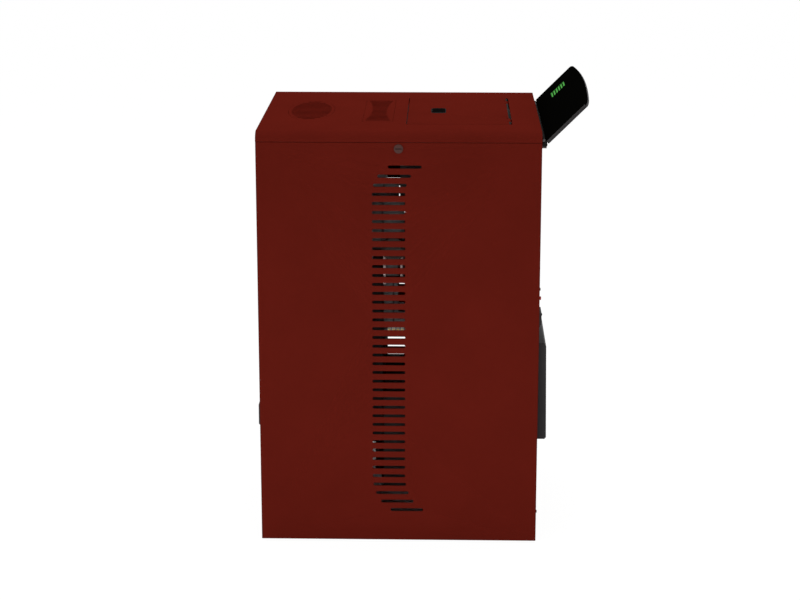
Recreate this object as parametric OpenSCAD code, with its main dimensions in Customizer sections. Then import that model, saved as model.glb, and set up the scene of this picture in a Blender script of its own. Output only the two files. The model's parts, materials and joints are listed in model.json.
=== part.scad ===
// Compact free-standing pellet stove, in millimetres.
// The front faces -Y, the rear +Y, and +Z is up. The origin lies on the floor, under the middle of
// the whole outline. Inside the modules, y is measured back from the front face of the casing and z
// up from the bottom edge of the casing; the module casing() puts both in their place.

/* [Casing] */
// Width of the casing
body_w = 560; // [540:1:620]
// Depth of the casing, front face to rear face
body_d = 620; // [610:1:680]
// Height of the casing, bottom edge to top face
body_h = 936; // [930:1:980]
// Height of the feet that shows under the casing
foot_show = 4; // [2:1:20]
// Thickness of the sheet-metal casing
sheet = 2; // [1:0.5:3]
// Gap between neighbouring front panels
seam = 3; // [2:0.5:4]
// Bend radius along the long edges of the top
top_bend_r = 20; // [10:1:24]
// Height of the top cover's side skirt, bend included
top_skirt = 22; // [22:1:30]
// Width of the front and rear flanges of a side panel
flange_w = 20; // [14:1:22]
// Clearance between seated sheet parts
seat = 0.3; // [0.1:0.1:0.5]

/* [Side louvres] */
// Number of louvre slots in a column
slot_rows = 40; // [20:1:42]
// Distance between slots
slot_pitch = 20.2; // [14:0.1:20.4]
// Length of a slot
slot_len = 73; // [40:1:90]
// Height of a slot
slot_h = 7; // [4:0.5:9]
// Height of the highest slot above the casing's bottom edge
slot_top = 860; // [840:1:870]
// Distance from the front face to the front end of the slots
slot_front = 252; // [200:1:280]
// Depth and height of the curl at the column's upper end
upper_curl = [58, 66];
// Depth and height of the curl at the column's lower end
lower_curl = [72, 90];

/* [Side panel locks] */
// Radius of a lock's head
lock_r = 10; // [8:0.5:12]
// Height of the locks above the casing's bottom edge
lock_h = 900; // [890:1:902]
// How far a lock's head stands out
lock_proud = 1.6; // [1:0.1:3]

/* [Top grilles] */
// Half length of the oval front grille, across the stove
oval_a = 126; // [90:1:140]
// Half width of the oval front grille
oval_b = 53; // [40:1:55]
// Middle of the oval grille behind the front face
oval_y = 104; // [100:1:110]
// Width of the rear grille, across the stove
waist_w = 300; // [200:1:320]
// Depth of the rear grille
waist_d = 68; // [50:1:70]
// Middle of the rear grille behind the front face
waist_y = 260; // [255:1:265]
// Width of a grille slot
grille_slot = 8; // [5:0.5:10]
// Distance between grille slots
grille_pitch = 16; // [14:0.5:20]
// Seat flange round a grille
grille_flange = 6; // [4:0.5:8]

/* [Hopper lid] */
// Width of the lid
lid_w = 350; // [300:1:380]
// Front edge of the lid behind the front face
lid_front = 326; // [320:1:340]
// Depth of the lid
lid_d = 226; // [200:1:226]
// Depth of the lid's skirt
lid_skirt = 6; // [4:0.5:7]
// Gap round the lid
lid_gap = 1.6; // [1:0.1:3]
// Radius of the lid's hinge knuckles
lid_knuckle_r = 4; // [3.5:0.1:4]
// Radius of the lid's hinge pins
lid_pin_r = 2; // [1.5:0.1:2.4]
// Width of the finger cup, across the stove
cup_w = 68; // [50:1:90]
// Front-to-back size of the finger cup
cup_d = 34; // [28:1:44]
// Depth of the finger cup
cup_deep = 11; // [8:0.5:12]
// Middle of the finger cup behind the lid's front edge
cup_y = 69; // [40:1:100]

/* [Hopper] */
// Width of the pellet hopper
hopper_w = 430; // [400:1:440]
// Front wall of the hopper behind the front face
hopper_front = 312; // [311:1:316]
// Depth of the hopper
hopper_d = 288; // [270:1:294]
// Height where the hopper starts to narrow
hopper_bend = 760; // [740:1:780]
// Height of the hopper's outlet
hopper_outlet_h = 610; // [606:1:620]
// Side of the square outlet
hopper_outlet = 70; // [60:1:72]

/* [Display] */
// Distance from the display's side to the casing's side
display_inset = 6.5; // [4:0.5:30]
// Length of the display panel at its corners
display_len = 128; // [110:1:150]
// How far the free edge bows out
display_bow = 12; // [4:1:16]
// Thickness of the glass
display_glass_t = 4; // [3:0.5:5]
// Thickness of the carrier frame
display_frame_t = 4; // [3:0.5:5]
// Tilt of the panel at rest, from level
display_tilt = 45; // [40:1:50]
// Distance of the hinge axis behind the casing
display_back = 6; // [5.5:0.5:9]
// Depth of the hinge axis below the top face
display_drop = 27; // [24:1:30]
// Width of the lit field
screen_w = 66; // [30:1:80]
// Length of the lit field
screen_len = 46; // [14:1:60]
// Middle of the lit field from the hinge axis
screen_u = 72; // [60:1:80]
// Middle of the lit field, from the middle of the stove
screen_x = -150; // [-200:1:200]

/* [Fire door] */
// Lower edge of the fire door
door_bottom = 211; // [211:1:216]
// Height of the fire door
door_h = 505; // [480:1:508]
// Thickness of the door's front plate
door_plate = 5; // [4:0.5:6]
// Full thickness of the door
door_t = 28; // [26:1:28]
// Half width of the door's window
window_half = 150; // [110:1:152]
// Height of the window
window_h = 330; // [250:1:332]
// Lower edge of the window above the door's lower edge
window_rise = 44; // [42:1:60]
// Thickness of the ceramic glass
door_glass_t = 4; // [3:0.5:5]
// Radius of the door's hinge pins
hinge_pin_r = 4; // [3:0.5:5]
// Radius of the door's hinge bosses
hinge_boss_r = 9; // [8:0.5:9.5]
// Height of the grip
grip_h = 49; // [40:1:60]
// Lower end of the grip above the casing's bottom edge
grip_bottom = 261; // [250:1:300]
// How far the grip stands out
grip_proud = 5.5; // [4:0.5:12]

/* [Ash drawer] */
// Height of the drawer's lower edge
drawer_bottom = 86; // [86:1:100]
// Half width of the ash pan
pan_half = 150; // [120:1:155]
// Height of the ash pan's rim
pan_top = 190; // [160:1:195]
// Depth of the ash pan
pan_d = 236; // [180:1:240]

/* [Fire chamber] */
// Half width of the firebox
box_half = 190; // [180:1:196]
// Rear wall of the firebox behind the front face
box_back = 272; // [268:1:272]
// Top of the firebox
box_top = 616; // [612:1:620]
// Plate thickness of the firebox
plate = 4; // [3:0.5:5]
// Half width of the burn pot
pot_half = 50; // [40:1:52]
// Front-to-back size of the burn pot
pot_d = 96; // [80:1:98]
// Height of the burn pot
pot_h = 100; // [80:1:110]
// Wall of the burn pot
pot_wall = 4; // [3:0.5:6]

/* [Pellet feed] */
// Slope of the auger, from level
auger_tilt = 40; // [38:1:42]
// Outer radius of the auger tube
auger_tube_r = 30; // [29:0.5:30]
// Length of the auger tube
auger_len = 210; // [205:1:214]
// Radius of the auger's flight
flight_r = 25.5; // [20:0.5:26]
// Pitch of the auger's flight
flight_pitch = 40; // [30:1:50]
// Radius of the auger's shaft
auger_shaft_r = 8; // [6:0.5:9]
// Radius of the drop chute
chute_r = 28; // [26:0.5:28]

/* [Fans] */
// Middle of the room fan, from the middle of the stove
room_fan_x = 40; // [30:1:45]
// Height of the room fan's shaft
room_fan_h = 306; // [300:1:310]
// Outer radius of the room fan's scroll
room_scroll_r = 95; // [90:1:96]
// Number of blades on the room fan
room_blades = 28; // [16:1:32]
// Radius of the room fan's wheel
room_wheel_r = 84; // [70:1:86]
// Height of the smoke fan's shaft
smoke_fan_h = 150; // [145:1:155]
// Outer radius of the smoke fan's scroll
smoke_scroll_r = 80; // [76:1:84]
// Number of blades on the smoke fan
smoke_blades = 10; // [6:1:16]
// Radius of the smoke fan's wheel
smoke_wheel_r = 66; // [50:1:70]
// Radius of both motor shafts
motor_shaft_r = 4; // [3:0.5:5]

/* [Rear connections] */
// Bore radius of the flue socket
flue_r = 40.2; // [40:0.1:41]
// Wall of the flue socket
flue_wall = 1.8; // [1.5:0.1:2]
// Middle of the flue socket, from the middle of the stove
flue_x = -150; // [-156:1:-146]
// Height of the flue socket
flue_h = 110; // [108:1:112]
// Bore radius of the combustion air intake
intake_r = 25.1; // [20:0.1:30]
// Middle of the air intake, from the middle of the stove
intake_x = 105; // [95:1:110]
// Height of the air intake
intake_h = 110; // [105:1:150]
// Width of the rear fan cover
cover_w = 260; // [220:1:270]
// Lower edge of the rear fan cover
cover_bottom = 205; // [180:1:206]
// Height of the rear fan cover
cover_h = 229; // [215:1:240]
// How far the rear fan cover stands out, at its lower end
cover_proud = 25; // [15:1:35]
// Number of louvres in the rear fan cover
cover_slots = 9; // [5:1:10]
// Lower edge of the mains inlet
inlet_bottom = 488; // [470:1:520]
// Middle of the mains inlet, from the middle of the stove
inlet_x = 196; // [150:1:210]
// Height of the reset button above the mains inlet
reset_rise = 25; // [17:1:60]

/* [Hidden] */
$fn = 64;

// Colours
red = [0.35, 0.09, 0.07];
dark_grey = [0.17, 0.16, 0.16];
black = [0.06, 0.06, 0.06];
steel = [0.55, 0.56, 0.58];
zinc = [0.48, 0.48, 0.47];
iron = [0.2, 0.2, 0.21];
brass = [0.72, 0.56, 0.25];
white = [0.88, 0.86, 0.82];

// Casing
half_w = body_w / 2;
inner_half = half_w - sheet - seat;
panel_half = half_w - flange_w - seam;
shoulder = body_h - top_skirt;
panel_seam = 0.8;
edge_r = 3;
rear_face = body_d - sheet;

// Chassis
frame_half = half_w - flange_w + sheet;
frame_y0 = sheet + seat;
frame_y1 = 38;
rail_h = 9;
rail_gap = 2;
lower_rail = door_bottom - rail_gap - rail_h;
upper_rail = door_bottom + door_h + rail_gap;
frame_top = shoulder - rail_gap;
upstand = 40;
foot_r = 13.5;
foot_stem_r = 4;
foot_stem = 26;
foot_nut_r = 7.5;
foot_nut_h = 6.5;
foot_y = [83, 520];
foot_x = half_w - 60;
post_w = 28;
post_y = body_d - 2 * sheet - 30;
lock_y = body_d / 2;
lock_shaft_r = 5;
lock_rail_x = inner_half - 12;
lock_blade = 3;
lock_blade_len = 24;
lock_blade_w = 9;

// Lid
lid_back = lid_front + lid_d;
lid_axis = [lid_back + 1, body_h - lid_knuckle_r];
lid_hinge_gap = lid_knuckle_r + 2.2;
knuckle_x = 120;
knuckle_w = 30;
ear_w = 4;
ear_gap = 0.4;
cup_r = 10;
cup_wall = 2;

// Hopper
hopper_sheet = 1.5;
hopper_back = hopper_front + hopper_d;
outlet_y = 430;
ledge = body_h - sheet - 12;

// Display
hinge_y = body_d + display_back;
hinge_z = body_h - display_drop;
display_knuckle_r = 4.5;
display_knuckle = 24;
display_pin_r = 2.5;
display_ear_x = 250;
display_ear_w = 6;
display_root = 7;
display_corner = 18;
display_tip = display_len + display_bow;
display_w = body_w - 2 * display_inset;
bow_r = (display_w * display_w / 4 + display_bow * display_bow) / (2 * display_bow);

// Origin: the middle of the whole outline, from the grip's face to the display's free edge
reach_back = hinge_y + display_tip * cos(display_tilt) + display_frame_t * sin(display_tilt);
front_y = -(reach_back - grip_proud) / 2;

// Fire door
door_top = door_bottom + door_h;
door_rim = 6;
hinge_axis = [-panel_half + hinge_boss_r, hinge_boss_r + 1];
hinge_boss_h = 30;
pin_clear = 0.1;
window_bottom = door_bottom + window_rise;
window_top = window_bottom + window_h;
window_r = 12;
glass_lap = 14;
ring_gap = 4;
ring_in = window_half + glass_lap + ring_gap;
ring_z = [window_bottom - glass_lap - ring_gap, window_top + glass_lap + ring_gap];
ring_w = 24;
gasket_w = 12;
gasket_front = door_t - 2;
gasket_back = frame_y1 - seat;
cup_x0 = panel_half - 63;
cup_x1 = panel_half - 11;
grip_wall = 2;
grip_lip = 4;
grip_side = 5;
cup_back = 22;
grip_mouth = 24;
catch_h = 460;
catch_half = 5;

// Ash drawer
drawer_top = door_bottom - seam;
pan_wall = 1.5;
pan_tab = 30;
pan_front = 2 * sheet + 14;
pan_floor = drawer_bottom + 4;
pull_half = 62;
pull_h = [168, 194];
runner_t = 2;

// Firebox
mouth_half = 160;
mouth_bottom = 240;
mouth_top = 600;
fb_front = frame_y1 + seat;
fb_floor = door_bottom - rail_gap;
fin_h = 24;
fin_pitch = 38;
fin_t = 3;
liner_t = 12;
liner_top = 562;
liner_front = 60;
liner_rib = 24;
baffle_y = [62, 200];
baffle_t = 8;
baffle_slot_x = [60, 130];
baffle_slot_y = [120, 132];
fireback_top = 470;
smoke_port = [-106, -60];
air_port = [-44, 44];
port_h = [222, 278];
smoke_port_top = 312;
weld = 0.1;
port_rim = 12;
flange_x = [smoke_port[0] - port_rim, air_port[1] + port_rim];
flange_top = smoke_port_top + port_rim;
port_split = (smoke_port[1] + air_port[0]) / 2;
pot_y = 107;
pot_bottom = 245;
rim_w = 8;
rim_t = 4;
support_half = pot_half + 6;
support_top = 283;
support_y = pot_y - 12;

// Pellet feed
auger_y = 491;
auger_h = 501;
tube_wall = 2;
chute_start = 180;
chute_len = 195;
chute_wall = 2.5;
cap_t = 5;
bush_r = 13;
bush_flange_r = 17;
flight_t = 2.5;
flight_from = 6;
flight_to = 190;
flight_steps = 22;
gearbox_w = 70;
gearbox_len = 40;
feed_motor_r = 30;
feed_motor_len = 55;

// Air ways
duct_x = [room_fan_x + 15, room_fan_x + 95];
duct_sheet = 2;
duct_low = 436;
duct_turn = 496;
duct_front = box_back + seat;
duct_mid = hopper_front - 6;
duct_top = 780;
hood_half = 174;
hood_front = 48;
hood_shoulder = 786;
hood_neck = 160;
hood_top = body_h - 2 * sheet - seat;
duct_port = [645, 772];
fan_front = 542;
fan_back = 612;
fan_eye_r = 60;
room_motor_r = 34;
room_motor_front = 488;
wheel_gap = 8;
ring_t = 3;

// Smoke way
smoke_x = [flue_x - flue_r, flue_x + flue_r];
smoke_fan_y = 440;
smoke_out_y = 556;
smoke_sheet = 2.5;
smoke_eye_r = 34;
smoke_motor_r = 36;
smoke_motor_len = 62;
collector_x = [smoke_x[1] + seat, -56];
collector_y = [box_back + seat, 312, 484];
collector_h = [108, 190, 320];
air_box_x = [-50, 145];
air_box_back = 332;
air_box_h = [70, 300];
igniter_r = 6;
igniter_h = port_h[1] - 16;
igniter_back = 52;

// Rear connections
cover_top_proud = cover_proud - 3;
cover_chamfer = 9;
cover_wall = 2.5;
cover_foot_r = 4;
inlet_w = 62;
inlet_h = 33;
inlet_proud = 9.5;
inlet_body = 24;
socket_w = 26;
socket_h = 18;
rocker_x = 17;
rocker_w = 14;
rocker_h = 22;
rocker_tilt = 6;
reset_x = inlet_x;
reset_h = inlet_bottom + inlet_h + reset_rise;
rocker_pin_r = 1;
reset_ring_r = 7;
reset_ring = 4;
reset_proud = 9;
reset_r = 4;

// Electrical parts
board_x = -248;
board_y = [436, post_y - seat];
board_low = 520;
board_tall = 170;
relay_pitch = 26;
switch_x = 226;
switch_r = 26;
switch_y = 298;
switch_h = 668;
bracket_low = switch_h - 28;
bracket_top = hood_shoulder - 2;
bracket_y = [switch_y - 22, switch_y + 24];
arm_y = [box_back - 20, box_back + 18];
hose_r = 3.5;
hose_y = [switch_y - 20, switch_y + 18];
hose_bottom = [588, 606];
block_h = [474, 492];

// Helpers: boxes and rods between two coordinates, and profiles pushed along an axis
module casing() translate([0, front_y, foot_show]) children();

module block(x, y, z) translate([x[0], y[0], z[0]]) cube([x[1] - x[0], y[1] - y[0], z[1] - z[0]]);

module rod_x(r, x, y, z) translate([x[0], y, z]) rotate([0, 90, 0]) cylinder(r = r, h = x[1] - x[0]);

module rod_y(r, x, y, z) translate([x, y[1], z]) rotate([90, 0, 0]) cylinder(r = r, h = y[1] - y[0]);

module rod_z(r, x, y, z) translate([x, y, z[0]]) cylinder(r = r, h = z[1] - z[0]);

// A flat outline given as (across, up), pushed from y[0] to y[1]
module along_y(y) translate([0, y[1], 0]) rotate([90, 0, 0]) linear_extrude(y[1] - y[0]) children();

// A flat outline given as (back, up), pushed from x[0] to x[1]
module along_x(x) translate([x[0], 0, 0]) rotate([90, 0, 90]) linear_extrude(x[1] - x[0]) children();

module both_sides() {
    children();
    mirror([1, 0, 0]) children();
}

module square_between(x, y) translate([x[0], y[0]]) square([x[1] - x[0], y[1] - y[0]]);

module rounded_rect(x, y, r) {
    translate([x[0] + r, y[0]]) square([x[1] - x[0] - 2 * r, y[1] - y[0]]);
    translate([x[0], y[0] + r]) square([x[1] - x[0], y[1] - y[0] - 2 * r]);
    for (cx = [x[0] + r, x[1] - r])
        for (cy = [y[0] + r, y[1] - r])
            translate([cx, cy]) circle(r);
}

module flat_ring(x, y, w, r) {
    difference() {
        rounded_rect(x, y, r);
        rounded_rect([x[0] + w, x[1] - w], [y[0] + w, y[1] - w], max(r - w, 1));
    }
}

module slot_shape(len, h) {
    translate([h / 2, 0]) circle(h / 2);
    translate([len - h / 2, 0]) circle(h / 2);
    translate([h / 2, -h / 2]) square([len - h, h]);
}

// A channel bent from sheet: an outline less the same outline drawn one sheet inside it
module channel(outer, inner, x, t) {
    difference() {
        along_x(x) polygon(outer);
        along_x([x[0] + t, x[1] - t]) polygon(inner);
    }
}

// Chassis
module base_tray() color(zinc) casing() {
    difference() {
        block([-inner_half, inner_half], [frame_y0, rear_face - sheet - seat], [0, upstand]);
        block([-inner_half + sheet, inner_half - sheet],
            [frame_y0 + sheet, rear_face - 2 * sheet - seat], [sheet, upstand + 1]);
        for (x = [-foot_x, foot_x])
            for (y = foot_y)
                rod_z(foot_stem_r + 0.2, x, y, [-1, sheet + 1]);
    }
}

module levelling_feet() color(dark_grey) casing() {
    for (x = [-foot_x, foot_x])
        for (y = foot_y) {
            rod_z(foot_r, x, y, [-foot_show, 0]);
            rod_z(foot_stem_r, x, y, [-foot_show, foot_stem]);
            translate([x, y, sheet]) cylinder(r = foot_nut_r, h = foot_nut_h, $fn = 6);
        }
}

module front_frame() color(black) casing() {
    difference() {
        union() {
            both_sides() block([frame_half, inner_half - sheet], [frame_y0, frame_y1], [sheet, frame_top]);
            for (h = [lower_rail, upper_rail])
                block([-frame_half - 1, frame_half + 1], [frame_y0, frame_y1], [h, h + rail_h]);
        }
        rod_z(hinge_pin_r, hinge_axis[0], hinge_axis[1], [lower_rail - 1, lower_rail + rail_h + 1]);
        rod_z(hinge_pin_r, hinge_axis[0], hinge_axis[1], [upper_rail - 1, upper_rail + rail_h + 1]);
        // Room for the tray's upstand
        both_sides() block([inner_half - 2 * sheet - seat, inner_half], [0, frame_y1 + 1], [0, upstand + seat]);
        block([-inner_half, inner_half], [0, frame_y0 + sheet + seat], [0, upstand + seat]);
    }
}

module rear_frame() color(zinc) casing() {
    post_back = rear_face - sheet - seat;
    both_sides() difference() {
        union() {
            block([inner_half - post_w, inner_half - sheet], [post_back - sheet, post_back],
                [upstand + seat, frame_top]);
            block([inner_half - 2 * sheet, inner_half - sheet], [post_y, post_back],
                [upstand + seat, frame_top]);
            // Side rail that the panel lock turns behind
            block([lock_rail_x, lock_rail_x + sheet], [frame_y1 + seat, post_y + 1],
                [frame_top - 32, frame_top]);
            block([lock_rail_x, inner_half - sheet], [frame_y1 + seat, post_back],
                [frame_top - sheet, frame_top]);
        }
        rod_x(lock_shaft_r + 0.2, [lock_rail_x - 1, lock_rail_x + sheet + 1], lock_y, lock_h);
    }
    // Feet of the posts, folded inwards onto the tray
    both_sides() block([inner_half - post_w, inner_half - sheet - seat],
        [post_y, post_back - sheet - seat], [sheet + seat, sheet + seat + 3]);
    both_sides() block([inner_half - post_w, inner_half - 2 * sheet - seat],
        [post_back - 3 * sheet, post_back - 2 * sheet], [sheet + seat, upstand + sheet]);
}

// Casing
function row_height(i) = slot_top - i * slot_pitch;
function curl(size, t) = t <= 0 ? 0 : size[0] * (1 - sqrt(max(0, 1 - pow(t / size[1], 2))));
function row_shift(i) =
    curl(upper_curl, (3 - i) * slot_pitch)
    + curl(lower_curl, (i - (slot_rows - 5)) * slot_pitch);

module side_panel() {
    difference() {
        linear_extrude(shoulder - panel_seam) difference() {
            union() {
                square_between([half_w - flange_w, half_w - edge_r], [0, body_d]);
                rounded_rect([half_w - flange_w, half_w], [0, body_d], edge_r);
            }
            rounded_rect([half_w - flange_w - edge_r, half_w - sheet], [sheet, body_d - sheet], edge_r - sheet);
        }
        along_x([half_w - sheet - 1, half_w + 1])
            for (i = [0:slot_rows - 1])
                translate([slot_front + row_shift(i), row_height(i)]) slot_shape(slot_len, slot_h);
        rod_x(lock_shaft_r + 0.5, [half_w - sheet - 1, half_w + 1], lock_y, lock_h);
    }
}

module side_panel_right() color(red) casing() side_panel();

module side_panel_left() color(red) casing() mirror([1, 0, 0]) side_panel();

module cam_lock() {
    difference() {
        union() {
            rod_x(lock_r, [half_w + 0.1, half_w + lock_proud], lock_y, lock_h);
            rod_x(lock_shaft_r, [lock_rail_x - lock_blade - seat, half_w + 1], lock_y, lock_h);
            block([lock_rail_x - lock_blade - seat, lock_rail_x - seat],
                [lock_y - lock_blade_w / 2, lock_y + lock_blade_w / 2],
                [lock_h - lock_blade_len / 2, lock_h + lock_shaft_r]);
        }
        block([half_w + lock_proud - 0.9, half_w + lock_proud + 1],
            [lock_y - lock_r * 0.7, lock_y + lock_r * 0.7], [lock_h - 1, lock_h + 1]);
    }
}

module cam_lock_right() color(dark_grey) casing() cam_lock();

module cam_lock_left() color(dark_grey) casing() mirror([1, 0, 0]) cam_lock();

module ellipse(a, b) polygon([for (k = [0:95]) [a * cos(k * 3.75), b * sin(k * 3.75)]]);

// Front view of the top cover, drawn t inside its outer face and cut off below low
module hood_outline(t, low) {
    intersection() {
        rounded_rect([-half_w + t, half_w - t], [shoulder - body_h / 2, body_h - t], top_bend_r - t);
        square_between([-half_w, half_w], [low, body_h]);
    }
}

module top_cover() color(red) casing() {
    difference() {
        along_y([0, body_d]) hood_outline(0, shoulder);
        along_y([sheet, body_d - sheet]) hood_outline(sheet, shoulder - 1);
        translate([0, oval_y, body_h - 2 * sheet]) linear_extrude(3 * sheet) ellipse(oval_a, oval_b);
        translate([0, 0, body_h - 2 * sheet]) linear_extrude(3 * sheet) {
            rounded_rect([-waist_w / 2, waist_w / 2], [waist_y - waist_d / 2, waist_y + waist_d / 2], 8);
            square_between([-lid_w / 2 - lid_gap, lid_w / 2 + lid_gap],
                [lid_front - lid_gap, lid_axis[0] + lid_hinge_gap - 1]);
        }
    }
}

module front_top_grille() color(red) casing() translate([0, oval_y, 0]) {
    rim = 7;
    last = floor((oval_a - 2 * rim) / grille_pitch);
    difference() {
        union() {
            translate([0, 0, body_h - sheet]) linear_extrude(sheet) ellipse(oval_a - seat, oval_b - seat);
            translate([0, 0, body_h - 2 * sheet - seat]) linear_extrude(sheet)
                ellipse(oval_a + grille_flange, oval_b + grille_flange);
            translate([0, 0, body_h - sheet - seat - 0.1]) linear_extrude(seat + 0.2)
                ellipse(oval_a - seat, oval_b - seat);
        }
        translate([0, 0, body_h - 3 * sheet]) linear_extrude(5 * sheet)
            for (k = [-last:last]) {
                half = (oval_b - rim) * sqrt(1 - pow(k * grille_pitch / (oval_a - rim), 2));
                translate([k * grille_pitch, -half]) rotate(90) slot_shape(2 * half, grille_slot);
            }
    }
}

module rear_top_grille() color(red) casing() translate([0, waist_y, 0]) {
    rim = 6;
    last = floor((waist_w / 2 - 2 * rim) / grille_pitch);
    difference() {
        union() {
            translate([0, 0, body_h - sheet - seat - 0.1]) linear_extrude(sheet + seat + 0.1)
                rounded_rect([-waist_w / 2 + seat, waist_w / 2 - seat],
                    [-waist_d / 2 + seat, waist_d / 2 - seat], 8 - seat);
            translate([0, 0, body_h - 2 * sheet - seat]) linear_extrude(sheet)
                rounded_rect([-waist_w / 2 - grille_flange, waist_w / 2 + grille_flange],
                    [-waist_d / 2 - grille_flange, waist_d / 2 + grille_flange], 8 + grille_flange);
        }
        // The slots are shorter in the middle, so that their ends draw a waist
        translate([0, 0, body_h - 3 * sheet]) linear_extrude(5 * sheet)
            for (k = [-last:last]) {
                half = (waist_d / 2 - rim) * (0.62 + 0.38 * pow(k / last, 2));
                translate([k * grille_pitch, -half]) rotate(90) slot_shape(2 * half, grille_slot);
            }
    }
}

// Hopper lid
module lid_notch(x) block([x - ear_w - 2 * ear_gap - knuckle_w / 2, x + ear_w + 2 * ear_gap + knuckle_w / 2],
    [lid_axis[0] - lid_knuckle_r - 1, lid_back + 1], [body_h - sheet - lid_skirt - 1, body_h + 1]);

module cup_shape(grow)
    rounded_rect([-cup_w / 2 - grow, cup_w / 2 + grow], [-cup_d / 2 - grow, cup_d / 2 + grow], cup_r + grow);

module hopper_lid() color(red) casing() {
    skirt_low = body_h - sheet - lid_skirt;
    difference() {
        union() {
            difference() {
                block([-lid_w / 2, lid_w / 2], [lid_front, lid_back], [skirt_low, body_h]);
                block([-lid_w / 2 + sheet, lid_w / 2 - sheet], [lid_front + sheet, lid_back - sheet],
                    [skirt_low - 1, body_h - sheet]);
                for (x = [-knuckle_x, knuckle_x]) lid_notch(x);
            }
            for (x = [-knuckle_x, knuckle_x]) {
                rod_x(lid_knuckle_r, [x - knuckle_w / 2, x + knuckle_w / 2], lid_axis[0], lid_axis[1]);
                block([x - knuckle_w / 2, x + knuckle_w / 2], [lid_axis[0] - lid_knuckle_r - 2, lid_axis[0]],
                    [body_h - sheet, body_h]);
            }
        }
        for (x = [-knuckle_x, knuckle_x])
            rod_x(lid_pin_r + pin_clear, [x - knuckle_w, x + knuckle_w], lid_axis[0], lid_axis[1]);
        translate([0, lid_front + cup_y, body_h - 2 * sheet]) linear_extrude(3 * sheet) cup_shape(0);
    }
}

module lid_pull_cup() color(black) casing() translate([0, lid_front + cup_y, 0]) {
    difference() {
        union() {
            translate([0, 0, body_h - cup_deep]) linear_extrude(cup_deep) cup_shape(-0.1);
            // Flange under the lid
            translate([0, 0, body_h - sheet - cup_wall]) linear_extrude(cup_wall - 0.1) cup_shape(4);
        }
        translate([0, 0, body_h - cup_deep + cup_wall]) linear_extrude(cup_deep) cup_shape(-cup_wall);
    }
}

module lid_hinge() color(steel) casing() {
    for (x = [-knuckle_x, knuckle_x]) {
        rod_x(lid_pin_r, [x - knuckle_w / 2 - ear_gap - ear_w, x + knuckle_w / 2 + ear_gap + ear_w],
            lid_axis[0], lid_axis[1]);
        for (side = [-1, 1]) {
            inner = knuckle_w / 2 + ear_gap;
            ear_x = side > 0 ? [x + inner, x + inner + ear_w] : [x - inner - ear_w, x - inner];
            rod_x(lid_knuckle_r, ear_x, lid_axis[0], lid_axis[1]);
            block(ear_x, [lid_axis[0], lid_axis[0] + 24], [ledge + sheet + seat, body_h - sheet - seat]);
        }
        block([x - knuckle_w / 2 - ear_gap - ear_w, x + knuckle_w / 2 + ear_gap + ear_w],
            [lid_axis[0] + 10, lid_axis[0] + 24], [ledge + sheet + seat, ledge + sheet + seat + 3]);
    }
}

module hopper_side(top, t) polygon([
    [hopper_front + t, top], [hopper_front + t, hopper_bend],
    [outlet_y + t, hopper_outlet_h], [outlet_y + t, hopper_outlet_h - 1 - t],
    [outlet_y + hopper_outlet - t, hopper_outlet_h - 1 - t], [outlet_y + hopper_outlet - t, hopper_outlet_h],
    [hopper_back - t, hopper_bend], [hopper_back - t, top]]);

module hopper_face(top, t) polygon([
    [-hopper_w / 2 + t, top], [-hopper_w / 2 + t, hopper_bend],
    [-hopper_outlet / 2 + t, hopper_outlet_h], [-hopper_outlet / 2 + t, hopper_outlet_h - 1 - t],
    [hopper_outlet / 2 - t, hopper_outlet_h - 1 - t], [hopper_outlet / 2 - t, hopper_outlet_h],
    [hopper_w / 2 - t, hopper_bend], [hopper_w / 2 - t, top]]);

module hopper() color(steel) casing() {
    top = body_h - sheet - seat;
    difference() {
        intersection() {
            along_x([-hopper_w, hopper_w]) hopper_side(top, 0);
            along_y([0, body_d]) hopper_face(top, 0);
        }
        difference() {
            intersection() {
                along_x([-hopper_w, hopper_w]) hopper_side(top + 1, hopper_sheet);
                along_y([0, body_d]) hopper_face(top + 1, hopper_sheet);
            }
            // Ledge round the mouth, under the lid's skirt
            difference() {
                block([-hopper_w, hopper_w], [0, body_d], [ledge, ledge + sheet]);
                block([-lid_w / 2 + 14, lid_w / 2 - 14], [lid_front + 14, lid_back - 14],
                    [ledge - 1, ledge + sheet + 1]);
            }
        }
    }
}

// Display panel, drawn flat with its hinge axis along X and laid back to its tilt
module tilted() translate([0, hinge_y, hinge_z]) rotate([display_tilt, 0, 0]) children();

module display_outline(inset) {
    intersection() {
        rounded_rect([-display_w / 2 + inset, display_w / 2 - inset],
            [display_root + inset, display_tip + display_corner], 3);
        translate([0, display_tip - bow_r]) circle(r = bow_r - inset, $fn = 256);
    }
}

module display_frame() color(dark_grey) casing() tilted() {
    knuckle_x = [display_ear_x - ear_gap - display_knuckle, display_ear_x - ear_gap];
    difference() {
        union() {
            translate([0, 0, -display_frame_t]) linear_extrude(display_frame_t - 0.1) display_outline(0);
            both_sides() {
                rod_x(display_knuckle_r, knuckle_x, 0, 0);
                block(knuckle_x, [0, display_root + 4], [-display_frame_t, -0.1]);
            }
        }
        both_sides() rod_x(display_pin_r + pin_clear, [knuckle_x[0] - 1, display_ear_x + 1], 0, 0);
        translate([screen_x, 0, 0]) block([-screen_w / 2 + 3, screen_w / 2 - 3],
            [screen_u - screen_len / 2 + 3, screen_u + screen_len / 2 - 3], [-display_frame_t - 1, 1]);
    }
}

module display_glass() color(black) casing() tilted() {
    difference() {
        linear_extrude(display_glass_t) display_outline(0.6);
        translate([screen_x, 0, 0]) block([-screen_w / 2 - 0.1, screen_w / 2 + 0.1],
            [screen_u - screen_len / 2 - 0.1, screen_u + screen_len / 2 + 0.1], [-1, display_glass_t + 1]);
    }
}

module display_screen() color([0.2, 0.5, 0.2]) casing() tilted() translate([screen_x, 0, 0])
    block([-screen_w / 2, screen_w / 2], [screen_u - screen_len / 2, screen_u + screen_len / 2],
        [0, display_glass_t - 0.3]);

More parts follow.
